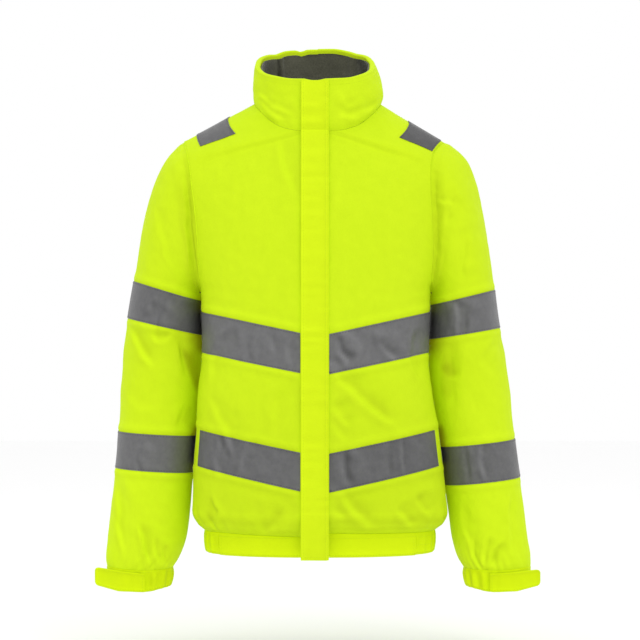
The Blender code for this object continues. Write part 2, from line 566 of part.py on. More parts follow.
def make_sleeve(torso, side, table):
    """Grid and normals of one sleeve, from the armhole down to the cuff."""
    mirror = -1 if side == "right" else 1
    loop, loop_normals, away_from_panel = armhole_loop(torso, side)
    lengths = np.linalg.norm(np.diff(loop, axis=0), axis=1)
    share = np.concatenate([[0.0], np.cumsum(lengths)]) / lengths.sum()
    loop_angles = math.pi + 2 * math.pi * share
    even_angles = math.pi + 2 * math.pi * np.linspace(0, 1, len(share))
    levels = levels_of(table)
    values = smooth([[r.away_x, r.away_z, r.near_x, r.near_z, r.half_depth, r.mid_y]
                     for r in table], levels)
    rings = []
    for number, (away_x, away_z, near_x, near_z, half_depth, mid_y) in enumerate(values):
        away = np.array([mirror * away_x, 0.0, away_z])
        near = np.array([mirror * near_x, 0.0, near_z])
        slide = min(max(number - 1, 0) / CAP_RINGS, 1.0)
        angles = loop_angles * (1 - slide) + even_angles * slide
        ring = oval_ring(away, near, half_depth, mid_y, angles)
        low = fade(levels[number], len(table) - 4, len(table) - 1)
        ring[:, 2] -= CUFF_SAG * low * np.clip(-np.sin(angles), 0.0, 1.0) ** 2
        if number == 0:
            shift = loop - uneven_shoulders(ring)
        rings.append(uneven_shoulders(ring) + shift * (1 - slide) ** 2)
    points = np.array(rings)
    points[:, -1] = points[:, 0]
    centres = points[:, :-1].mean(axis=1, keepdims=True)
    normals = grid_normals(points, np.broadcast_to(centres, points.shape), closed=True)
    normals[0] = loop_normals
    normals[-1, :, 2] = 0.0
    normals[-1] = unit(normals[-1])
    depth = fold_depth("sleeve", points, normals)
    height = points[..., 2] - points[-1:, :, 2]
    waves = np.cos(CUFF_GATHERS * even_angles)[None, :]
    depth += CUFF_GATHER_DEPTH * waves * fade(height, 0.0, 0.015) * (1 - fade(height, 0.02, 0.06))
    depth *= 1 - fade(np.abs(normals[..., 0]) * (normals[..., 0] * mirror < 0), 0.5, 0.8)
    tapes = np.zeros(len(levels), dtype=bool)
    for low, top in (("upper_tape_top", "upper_tape_low"), ("lower_tape_top", "lower_tape_low")):
        tapes[row_span(table, low, top)] = True
    depth[tapes] *= 0.4
    depth[0] = 0.0
    depth[-1] = 0.0
    points += normals * depth[..., None]
    points[0] += away_from_panel * SEAM_GAP / 2
    return points, normals


# ------------------------------------------------------------------ bands
def along_edge(points, normals, places):
    """Points and normals at shares (0 to 1) of an edge's length, on its straight chords."""
    lengths = np.linalg.norm(np.diff(points, axis=0), axis=1)
    share = np.concatenate([[0.0], np.cumsum(lengths)]) / lengths.sum()
    at = [np.stack([np.interp(places, share, values[:, axis]) for axis in range(3)], axis=1)
          for values in (points, normals)]
    return at[0], unit(at[1])


def band_patch(edge, edge_normals, bottom_z, swell, tuck_in, rib_waves):
    """A band hanging from an edge: rows at its top, middle and bottom."""
    flat = edge_normals.copy()
    flat[:, 2] = 0.0
    flat = unit(flat)
    top = edge.copy()
    top[:, 2] -= SEAM_GAP
    middle = top + flat * (swell + rib_waves)[:, None]
    middle[:, 2] = (top[:, 2] + bottom_z) / 2
    bottom = top - flat * (tuck_in - rib_waves)[:, None]
    bottom[:, 2] = bottom_z
    points = np.stack([bottom, middle, top])
    return points, np.broadcast_to(flat, points.shape).copy()


def hem_edge(torso):
    """The hem seam, from the right front's edge round the back to the left front's edge."""
    parts = []
    for part in (0, 1):
        pieces = [torso["right", -1][part][0], torso["right", 1][part][0][::-1],
                  torso["left", 1][part][0][1:], torso["left", -1][part][0][::-1]]
        parts.append(np.concatenate(pieces))
    return parts


def make_hem_bands(torso, material):
    """Two plain front ends and the elasticated stretch round the sides and back."""
    edge, normals = hem_edge(torso)
    lengths = np.linalg.norm(np.diff(edge, axis=0), axis=1)
    share = np.concatenate([[0.0], np.cumsum(lengths)]) / lengths.sum()
    front = edge[:, 1] < 0
    right_end = np.interp(BAND_STITCH_X, -edge[:len(edge) // 3, 0], share[:len(edge) // 3])
    left = front & (edge[:, 0] > 0)
    left_end = np.interp(-BAND_STITCH_X, -edge[left, 0], share[left])
    half_gap = SEAM_GAP / 2 / lengths.sum()
    for name, start, end in (("hem_band_r", 0.0, right_end - half_gap),
                             ("hem_band_l", left_end + half_gap, 1.0)):
        places = np.linspace(start, end, 9)
        points, facing = along_edge(edge, normals, places)
        plain = np.zeros(len(places))
        patch = band_patch(points, facing, HEM_BOTTOM_Z, BAND_SWELL, BAND_TUCK, plain)
        cloth_wall(name, [patch], BAND_CLOTH, material)
    places = np.linspace(right_end + half_gap, left_end - half_gap, BAND_RIBS * 3 + 1)
    points, facing = along_edge(edge, normals, places)
    ribs = BAND_RIB_DEPTH * np.cos(np.arange(len(places)) * 2 * math.pi / 3)
    patch = band_patch(points, facing, HEM_BOTTOM_Z + ELASTIC_RISE, BAND_SWELL,
                       ELASTIC_TUCK, ribs)
    cloth_wall("hem_band_back", [patch], BAND_CLOTH, material)


def make_cuff(name, sleeve, mirror, material):
    """A cuff below the sleeve, plain on its outer half and ribbed on its inner half."""
    points, normals = sleeve
    ring = points[-1]
    plain_places = np.linspace(0.25, 0.75, 13)[1:-1]
    rib_count = CUFF_RIBS * 3
    ribbed = np.linspace(0.75, 1.25, rib_count + 1)
    places = np.concatenate([plain_places, ribbed])
    order = np.argsort(places % 1.0)
    turns = places[order] % 1.0
    waves = np.where(places[order] >= 0.75, CUFF_RIB_DEPTH, 0.0)
    waves = waves * np.cos((places[order] - 0.75) * CUFF_RIBS * 4 * math.pi)
    edge, facing = along_edge(ring, normals[-1], turns)
    facing_x = facing[:, 0] * mirror
    tuck_in = CUFF_TUCK_OUTER + (CUFF_TUCK_INNER - CUFF_TUCK_OUTER) * fade(-facing_x, -0.2, 0.6)
    height = CUFF_HEIGHT - CUFF_INNER_CUT * fade(-facing_x, 0.0, 0.9)
    patch_points, patch_normals = band_patch(
        edge, facing, edge[:, 2] - height, CUFF_SWELL, tuck_in, waves)
    closed = [np.concatenate([grid, grid[:, :1]], axis=1) for grid in (patch_points, patch_normals)]
    cloth_wall(name, [closed], BAND_CLOTH, material)
    return edge


def make_cuff_tab(name, cuff_edge, mirror, material):
    """The adjuster tab: sewn across the cuff's front, its free end past the outer edge."""
    front = cuff_edge[cuff_edge[:, 1] < cuff_edge[:, 1].mean()]
    order = np.argsort(front[:, 0] * mirror)
    front_x, front_y = front[order, 0] * mirror, front[order, 1]
    sewn, free = np.linspace(TAB_START_X, TAB_LEAVE_X, 5), np.linspace(TAB_LEAVE_X, TAB_END_X, 4)
    xs = np.concatenate([sewn, free[1:]])
    ys = np.interp(np.minimum(xs, TAB_LEAVE_X), front_x, front_y)
    slope = (ys[4] - ys[3]) / (xs[4] - xs[3])
    ys = ys + np.maximum(xs - TAB_LEAVE_X, 0.0) * slope * TAB_SPRING - LAY_GAP - TAB_STAND_OFF
    top_z = np.interp(xs, [TAB_START_X, TAB_END_X], TAB_TOP_Z)
    bottom_z = np.interp(xs, [TAB_START_X, TAB_LEAVE_X, TAB_END_X], TAB_BOTTOM_Z)
    if mirror < 0:
        top_z = top_z + np.interp(xs, [TAB_START_X, TAB_END_X], [0.0, TAB_RISE_RIGHT])
    rows = [np.stack([mirror * xs, ys, bottom_z + (top_z - bottom_z) * level], axis=1)
            for level in (0.0, 0.5, 1.0)]
    points = np.array(rows)
    run = np.gradient(points[0], axis=0)
    facing = unit(np.stack([run[:, 1] * mirror, -run[:, 0] * mirror, np.zeros(len(xs))], axis=1))
    normals = np.broadcast_to(facing, points.shape).copy()
    cloth_wall(name, [(points + normals * TAB_CLOTH, normals)], TAB_CLOTH, material)


# ------------------------------------------------------------------ collar and flap
def neckline(torso):
    """The neck seam, from the right front's edge round the back to the left front's edge."""
    front_right = torso["right", -1][0][NECK_ROW:, 0]
    back_right = torso["right", 1][0][NECK_ROW:-1, 0][::-1]
    back_left = torso["left", 1][0][NECK_ROW + 1:, 0]
    front_left = torso["left", -1][0][NECK_ROW:-1, 0][::-1]
    return np.concatenate([front_right, back_right, back_left, front_left])


def collar_surface(loop):
    """Outer surface of the collar: rows from the neck seam up to the rim, and its normals."""
    angle = np.arctan2(loop[:, 0], NECK_CENTRE_Y - loop[:, 1])
    side_reach = np.where(loop[:, 0] < 0, RIM_HALF_WIDTH_RIGHT, RIM_HALF_WIDTH_LEFT)
    end_reach = np.where(np.cos(angle) > 0, RIM_FRONT_REACH, RIM_BACK_REACH)
    across, ahead = rounded(np.sin(angle), RIM_ROUNDNESS), rounded(np.cos(angle), RIM_ROUNDNESS)
    rim_z = (RIM_FRONT_Z + RIM_BACK_Z) / 2 - (RIM_BACK_Z - RIM_FRONT_Z) / 2 * ahead
    rim = np.stack([side_reach * across, NECK_CENTRE_Y - end_reach * ahead, rim_z], axis=1)
    rim[0, 0], rim[-1, 0] = loop[0, 0], loop[-1, 0]
    outward = unit(np.stack([np.sin(angle), -np.cos(angle), np.zeros(len(angle))], axis=1))
    outward[0], outward[-1] = (0.0, -1.0, 0.0), (0.0, -1.0, 0.0)
    base = loop.copy()
    base[:, 2] += SEAM_GAP
    to_left = fade(loop[:, 0], -NECK_BLEND_X, NECK_BLEND_X)[:, None]
    most = COLLAR_SWELL_RIGHT + (COLLAR_SWELL_LEFT - COLLAR_SWELL_RIGHT) * to_left
    rows = []
    for height in np.linspace(0.0, 1.0, 6):
        swell = most * 4 * height * (1 - height) * (1.15 - 0.3 * height)
        rows.append(base * (1 - height) + rim * height + outward * swell)
    points = np.array(rows)
    normals = np.broadcast_to(outward, points.shape).copy()
    depth = fold_depth("collar", points, normals)
    depth[0] = 0.0
    depth *= fade(np.abs(points[..., 0] + 0.004), 0.021, 0.034)
    return points + normals * depth[..., None], normals


def make_collar(torso, yellow, grey):
    """The padded outer collar with its rolled rim, and the grey lining inside it."""
    points, normals = collar_surface(neckline(torso))
    cloth = np.array([0.0, 0.0, 1.0])
    rim, outward = points[-1], normals[-1]
    roll = [rim - outward * COLLAR_CLOTH * share + cloth * COLLAR_ROLL * height
            for share, height in ((0.06, 0.55), (0.28, 0.92), (0.5, 1.0), (0.72, 0.92), (0.94, 0.55))]
    inner = [row - outward * COLLAR_CLOTH for row in points[::-1]]
    section = np.array(list(points) + roll + inner)
    rows, columns = section.shape[:2]
    vertices = section.reshape(-1, 3)
    faces = []
    for column in range(columns - 1):
        for row in range(rows):
            here = row * columns + column
            next_row = (row + 1) % rows * columns + column
            on_inside = len(points) + len(roll) <= row < rows - 1
            if on_inside:
                faces.append((next_row, next_row + 1, here + 1))
                faces.append((next_row, here + 1, here))
            else:
                faces.append((next_row, next_row + 1, here + 1, here))
    first = [row * columns for row in range(rows)]
    last = [row * columns + columns - 1 for row in range(rows)]
    faces += [tuple(reversed(first)), tuple(last)]
    add_object("collar", vertices, faces, yellow)
    skin = points - normals * (COLLAR_CLOTH + LAY_GAP)
    skin[-1] += (skin[-2] - skin[-1]) * LINING_SET_BACK
    skin[0] += (skin[1] - skin[0]) * LINING_SET_BACK
    cloth_wall("collar_lining", [(skin, normals)], LINING_CLOTH, grey)
    return points


def make_flap(torso, collar_points, material):
    """The storm flap: one straight strip from the collar's rim to just below the hem."""
    body = torso["right", -1][0][:, 0]
    line_z = np.concatenate([body[:NECK_ROW + 1, 2], collar_points[1:, 0, 2]])
    line_y = np.concatenate([body[:NECK_ROW + 1, 1], collar_points[1:, 0, 1]])
    blouse = level_index(FRONT_ROWS, "blouse")
    hanging_z = np.array([FLAP_BOTTOM_Z, (FLAP_BOTTOM_Z + body[blouse, 2]) / 2])
    hanging_y = body[blouse, 1] + np.array([0.0085, 0.0030])
    zs = np.concatenate([hanging_z, line_z[blouse:]])
    ys = np.concatenate([hanging_y, line_y[blouse:]])
    zs[-1] = FLAP_TOP_Z
    xs = np.array([FLAP_RIGHT_X, -0.0110, 0.0040, FLAP_LEFT_X])
    points = np.stack([np.stack([np.full(len(zs), x), ys, zs], axis=1) for x in xs], axis=1)
    run = np.gradient(points, axis=0)
    normals = unit(np.stack([np.zeros_like(run[..., 0]), -run[..., 2], run[..., 1]], axis=-1))
    lift = LAY_GAP + 0.0004 + FLAP_CLOTH
    cloth_wall("storm_flap", [(points + normals * lift, normals)], FLAP_CLOTH, material)


def build():
    """Empty the scene, then make every piece of the jacket."""
    for item in list(bpy.data.objects):
        bpy.data.objects.remove(item, do_unlink=True)
    collection = bpy.data.collections.new(COLLECTION)
    bpy.context.scene.collection.children.link(collection)
    yellow = make_material("hi_vis_yellow", YELLOW, 0.75)
    silver = make_material("reflective_tape", SILVER, 0.45)
    grey = make_material("collar_lining", LINING_GREY, 0.85)

    torso = make_torso()
    fold_torso(torso)
    sleeves = {
        "r": make_sleeve(torso, "right", SLEEVE_RINGS_RIGHT),
        "l": make_sleeve(torso, "left", SLEEVE_RINGS_LEFT),
    }
    loop = neckline(torso)
    patches = {key: (inset_edges(points), normals) for key, (points, normals) in torso.items()}
    for side in ("right", "left"):
        whole = torso[side, 1][0]
        patches[side, 1][0][:NECK_ROW + 1, 0, :2] = whole[:NECK_ROW + 1, 0, :2]
    patches["left", 1][0][:NECK_ROW + 1, 0] = patches["right", 1][0][:NECK_ROW + 1, 0]

    cloth_wall("front_r", [patches["right", -1]], CLOTH, yellow)
    cloth_wall("front_l", [patches["left", -1]], CLOTH, yellow)
    cloth_wall("back", [patches["right", 1], patches["left", 1]], CLOTH, yellow)

    for tape in ("chest", "waist"):
        rows = row_span(FRONT_ROWS, tape + "_tape_low", tape + "_tape_top")
        for letter, side in (("r", "right"), ("l", "left")):
            patch = tape_patch(patches[side, -1], rows, slice(1, None))
            cloth_wall(f"tape_{tape}_{letter}", [patch], TAPE_CLOTH, silver, lift=LAY_GAP)
        halves = [tape_patch(patches[side, 1], rows) for side in ("right", "left")]
        cloth_wall(f"tape_{tape}_back", halves, TAPE_CLOTH, silver, lift=LAY_GAP)

    for letter, side, mirror, table in (("r", "right", -1, SLEEVE_RINGS_RIGHT),
                                        ("l", "left", 1, SLEEVE_RINGS_LEFT)):
        sleeve = sleeves[letter]
        cloth_wall(f"sleeve_{letter}", [sleeve], CLOTH, yellow)
        for tape in ("upper", "lower"):
            rows = row_span(table, tape + "_tape_top", tape + "_tape_low")
            cloth_wall(f"tape_{tape}_{letter}", [tape_patch(sleeve, rows)], TAPE_CLOTH, silver,
                       lift=LAY_GAP)
        cuff_edge = make_cuff(f"cuff_{letter}", sleeve, mirror, yellow)
        make_cuff_tab(f"cuff_tab_{letter}", cuff_edge, mirror, yellow)
        shoulder = [shoulder_patch(patches[side, face], SHOULDER_TAPES[side], rows)
                    for face, rows in ((-1, 5), (1, 4))]
        shoulder[1][0][-1] = shoulder[0][0][-1]
        cloth_wall(f"tape_shoulder_{letter}", shoulder, TAPE_CLOTH, silver, lift=LAY_GAP)

    make_hem_bands(torso, yellow)
    collar_points = make_collar(torso, yellow, grey)
    make_flap(torso, collar_points, yellow)


build()
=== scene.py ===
"""Looks of the hi-vis work jacket: fine cloth shells, folds, stitching, finishes, light, camera.

Metres, +Z up, the front faces -Y and the wearer's right is -X, as in the frame. Every shell is
lofted through the same named sections as its solid, in finer steps, and then creased.
"""

import math
from collections import namedtuple

import bpy
import numpy as np
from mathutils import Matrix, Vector


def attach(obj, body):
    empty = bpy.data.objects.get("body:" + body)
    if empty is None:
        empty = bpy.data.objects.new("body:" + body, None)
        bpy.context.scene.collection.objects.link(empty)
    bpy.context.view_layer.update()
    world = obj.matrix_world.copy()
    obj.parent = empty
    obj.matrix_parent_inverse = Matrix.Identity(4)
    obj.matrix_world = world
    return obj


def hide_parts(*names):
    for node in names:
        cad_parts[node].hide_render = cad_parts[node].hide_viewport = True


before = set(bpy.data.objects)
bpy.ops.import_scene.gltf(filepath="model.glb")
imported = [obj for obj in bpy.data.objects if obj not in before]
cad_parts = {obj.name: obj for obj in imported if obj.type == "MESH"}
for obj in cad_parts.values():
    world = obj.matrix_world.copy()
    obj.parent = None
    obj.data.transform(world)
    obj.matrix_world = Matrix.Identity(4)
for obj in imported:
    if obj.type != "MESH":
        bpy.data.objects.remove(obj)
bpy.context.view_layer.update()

# ------------------------------------------------------------------ driving sizes, metres
MIRROR = {"right": -1, "left": 1}  # the sign of x on the wearer's two sides
SIDES = tuple(MIRROR)
FACES = (-1, 1)           # front and back
CLOTH = 0.0024            # padded shell cloth
COLLAR_CLOTH = 0.0085     # collar's outer wall with its padding
LINING_CLOTH = 0.0016
BAND_CLOTH = 0.0026
FLAP_CLOTH = 0.0032
TAB_CLOTH = 0.0028
TAPE_CLOTH = 0.0007
SEAM_GAP = 0.0002         # between two sewn edges
LAY_GAP = 0.0004          # under what lies on a panel

FRONT_COLUMNS = 84        # from the tape's inner end to the side seam
ROW_PITCH = 0.0036        # between the rows of a shell
FRONT_ROUNDNESS = 2.3     # superellipse power of the torso's sections
SLEEVE_ROUNDNESS = 2.2
EDGE_X = 0.0008           # the fronts' edges stand this far from the middle
FLAP_RIGHT_X = -0.0243    # free edge of the storm flap
FLAP_LEFT_X = 0.0166      # sewn edge of the storm flap
TAPE_CLEARANCE = 0.0006   # between the tapes' inner ends and the flap's edges
SHOULDER_DROP = 0.0015    # the wearer's left shoulder sits this much lower

HEM_BOTTOM_Z = -0.6665
HEM_SAG = 0.0065          # the right front's hem seam dips this much beside the flap
HEM_SAG_FROM_Z = -0.575   # the dip starts at this height
HEM_SAG_FULL_Z = -0.630   # and has its full depth from here down
BAND_SWELL = 0.0006       # the hem band bulges out this much half way down
BAND_TUCK = 0.0012        # the plain band ends lean in this much at the bottom
ELASTIC_TUCK = 0.0020     # the elasticated band leans in this much
ELASTIC_RISE = 0.0005     # and ends this much higher
FLAP_BOTTOM_Z = -0.6685
FLAP_TOP_Z = 0.0300
BAND_STITCH_X = 0.145     # where the plain band ends meet the elasticated stretch
BAND_RIBS = 34
CUFF_HEIGHT = 0.0330
CUFF_INNER_CUT = 0.0040   # the cuffs are this much shorter beside the body
CUFF_SAG = 0.0030         # the cuff seams dip this much in front
CUFF_SWELL = 0.0004       # the cuffs bulge out this much half way down
CUFF_TUCK_OUTER = 0.0006  # a cuff leans in this much on its plain side
CUFF_TUCK_INNER = 0.0041  # and this much on its ribbed side
TAB_START_X = 0.2560      # the tab is sewn on from here
TAB_LEAVE_X = 0.2950      # leaves the cuff here
TAB_END_X = 0.3310        # and ends here
TAB_TOP_Z = [-0.6965, -0.6920]              # at its start and end
TAB_BOTTOM_Z = [-0.7235, -0.7232, -0.7155]  # at its start, where it leaves, and its end
TAB_RISE_RIGHT = 0.0028   # the right tab's free end reaches this much higher
TAB_STAND_OFF = 0.0020
TAB_SPRING = 1.2          # the free end runs this many times as steeply as the cuff
CUFF_RIBS = 9

# ------------------------------------------------------------------ sections of the torso
# Rows run from the hem up to the shoulder seam. "inner" is the front edge and then the
# neckline; "outer" is the side seam and then the armhole. turn is how far round (degrees)
# the section bends from its inner to its outer end.
FrontRow = namedtuple(
    "FrontRow", "name inner_x inner_y inner_z outer_y outer_z outer_x_right outer_x_left turn")
FRONT_ROWS = [FrontRow(*row) for row in (
    ("hem", EDGE_X, -0.1280, -0.6305, -0.008, -0.6335, 0.1690, 0.1760, 90),
    ("tuck", EDGE_X, -0.1400, -0.6190, -0.014, -0.6215, 0.1785, 0.1875, 90),
    ("blouse", EDGE_X, -0.1475, -0.6010, -0.024, -0.6040, 0.1855, 0.1930, 90),
    ("waist_tape_low", EDGE_X, -0.1465, -0.5740, -0.030, -0.5340, 0.1835, 0.1865, 90),
    ("waist_tape_top", EDGE_X, -0.1435, -0.5178, -0.030, -0.4815, 0.1795, 0.1790, 90),
    ("waist", EDGE_X, -0.1440, -0.4600, -0.030, -0.4250, 0.1765, 0.1695, 90),
    ("chest_tape_low", EDGE_X, -0.1480, -0.4025, -0.030, -0.3690, 0.1695, 0.1640, 90),
    ("chest_tape_top", EDGE_X, -0.1500, -0.3448, -0.028, -0.3090, 0.1715, 0.1665, 90),
    ("underarm", EDGE_X, -0.1505, -0.3180, -0.020, -0.2835, 0.1735, 0.1680, 90),
    ("armhole_low", EDGE_X, -0.1490, -0.2600, -0.056, -0.2600, 0.1740, 0.1680, 76),
    ("armhole_notch", EDGE_X, -0.1430, -0.2000, -0.073, -0.2150, 0.1770, 0.1700, 64),
    ("armhole_middle", EDGE_X, -0.1320, -0.1450, -0.077, -0.1700, 0.1805, 0.1685, 60),
    ("armhole_high", EDGE_X, -0.1140, -0.0920, -0.074, -0.1280, 0.1850, 0.1665, 56),
    ("neck_base", EDGE_X, -0.0900, -0.0437, -0.066, -0.0960, 0.1890, 0.1670, 50),
    ("neck_front", 0.0290, -0.0873, -0.0430, -0.060, -0.0855, 0.1912, 0.1682, 47),
    ("neck_side", 0.0545, -0.0768, -0.0365, -0.053, -0.0760, 0.1930, 0.1700, 44),
    ("neck_shoulder", 0.0850, -0.0470, -0.0115, -0.034, -0.0625, 0.1970, 0.1790, 38),
    ("near_shoulder", 0.0935, -0.0230, -0.0005, -0.016, -0.0550, 0.1990, 0.1870, 33),
    ("shoulder", 0.0953, -0.0010, 0.0030, 0.000, -0.0530, 0.1990, 0.1900, 30),
)]

# The back shares the fronts' rows, side seams and shoulder seams. Each row here gives its inner
# x, y and z and, above the underarm, its outer y and its outer x on the right and on the left.
BACK_SHAPES = [
    (0.0000, 0.1180, -0.6345),
    (0.0000, 0.1310, -0.6230),
    (0.0000, 0.1400, -0.6060),
    (0.0000, 0.1370, -0.5520),
    (0.0000, 0.1310, -0.4970),
    (0.0000, 0.1320, -0.4400),
    (0.0000, 0.1380, -0.3850),
    (0.0000, 0.1420, -0.3260),
    (0.0000, 0.1440, -0.2970),
    (0.0000, 0.1470, -0.2350, 0.0360, 0.1755, 0.1695),
    (0.0000, 0.1460, -0.1750, 0.0740, 0.1790, 0.1725),
    (0.0000, 0.1390, -0.1200, 0.0830, 0.1830, 0.1750),
    (0.0000, 0.1220, -0.0640, 0.0800, 0.1870, 0.1765),
    (0.0000, 0.0760, 0.0080, 0.0710, 0.1905, 0.1790),
    (0.0250, 0.0735, 0.0082, 0.0645, 0.1922, 0.1800),
    (0.0470, 0.0660, 0.0085, 0.0570, 0.1940, 0.1815),
    (0.0720, 0.0500, 0.0080, 0.0370, 0.1970, 0.1845),
    (0.0890, 0.0240, 0.0060, 0.0180, 0.1990, 0.1885),
    (0.0953, -0.0010, 0.0030),
]
BackRow = namedtuple("BackRow", "name inner_x inner_y inner_z outer_y outer_x_right outer_x_left")
BACK_ROWS = [
    BackRow(row.name, *shape[:3],
            *(shape[3:] or (row.outer_y, row.outer_x_right, row.outer_x_left)))
    for row, shape in zip(FRONT_ROWS, BACK_SHAPES)]

# ------------------------------------------------------------------ sections of the sleeves
# Each ring spans from its outer (away) point to its point next to the body (near). A row holds
# its name, half depth and middle y, and then away x and z and near x and z, right and left.
SLEEVE_SECTIONS = [
    ("armhole", 0.0780, 0.000, (0.1990, -0.0530, 0.1735, -0.2835),
     (0.1900, -0.0530, 0.1680, -0.2835)),
    ("cap_first", 0.0830, 0.003, (0.2130, -0.0645, 0.1750, -0.2822),
     (0.2090, -0.0640, 0.1695, -0.2825)),
    ("cap_second", 0.0855, 0.006, (0.2330, -0.0890, 0.1762, -0.2826),
     (0.2265, -0.0820, 0.1706, -0.2835)),
    ("cap_third", 0.0865, 0.010, (0.2485, -0.1260, 0.1768, -0.2840),
     (0.2405, -0.1165, 0.1712, -0.2850)),
    ("cap_fourth", 0.0865, 0.014, (0.2595, -0.1640, 0.1768, -0.2860),
     (0.2485, -0.1560, 0.1714, -0.2880)),
    ("upper_tape_top", 0.0860, 0.020, (0.2765, -0.2625, 0.1760, -0.2930),
     (0.2665, -0.2755, 0.1708, -0.2990)),
    ("upper_tape_low", 0.0840, 0.022, (0.2855, -0.3180, 0.1722, -0.3440),
     (0.2745, -0.3325, 0.1675, -0.3500)),
    ("above_elbow", 0.0810, 0.022, (0.2930, -0.3750, 0.1722, -0.3950),
     (0.2830, -0.3770, 0.1668, -0.3950)),
    ("elbow", 0.0770, 0.020, (0.2960, -0.4350, 0.1775, -0.4470),
     (0.2900, -0.4350, 0.1738, -0.4500)),
    ("lower_tape_top", 0.0730, 0.016, (0.2985, -0.4875, 0.1818, -0.4940),
     (0.2960, -0.4990, 0.1840, -0.5110)),
    ("lower_tape_low", 0.0690, 0.012, (0.3025, -0.5420, 0.1870, -0.5490),
     (0.3040, -0.5560, 0.1912, -0.5680)),
    ("forearm", 0.0620, 0.006, (0.3095, -0.6000, 0.1912, -0.6050),
     (0.3105, -0.6030, 0.1965, -0.6080)),
    ("wrist", 0.0560, 0.001, (0.3130, -0.6440, 0.1960, -0.6440),
     (0.3150, -0.6440, 0.2010, -0.6440)),
    ("gather", 0.0500, -0.003, (0.3160, -0.6720, 0.2060, -0.6730),
     (0.3190, -0.6720, 0.2090, -0.6730)),
    ("cuff_seam", 0.0430, -0.006, (0.3150, -0.6870, 0.2160, -0.6900),
     (0.3190, -0.6870, 0.2185, -0.6900)),
]
SleeveRing = namedtuple("SleeveRing", "name away_x away_z near_x near_z half_depth mid_y")
SLEEVE_RINGS = {side: [SleeveRing(name, *ends[number], half_depth, mid_y)
                       for name, half_depth, mid_y, *ends in SLEEVE_SECTIONS]
                for number, side in enumerate(SIDES)}
CAP_RINGS = 5             # rings over which the armhole's shape fades into the oval ones

# ------------------------------------------------------------------ shoulder tapes
# Each covers the torso's columns from first to last. Its inner and outer ends cut into the
# first and last cells by these shares, at its lowest row and at the shoulder seam.
ShoulderTape = namedtuple("ShoulderTape", "first last inner_low inner_top outer_low outer_top")
SHOULDER_TAPES = {
    "right": ShoulderTape(2, 8, 0.90, 0.16, 0.66, 0.30),
    "left": ShoulderTape(3, 11, 0.92, 0.02, 0.80, 0.10),
}

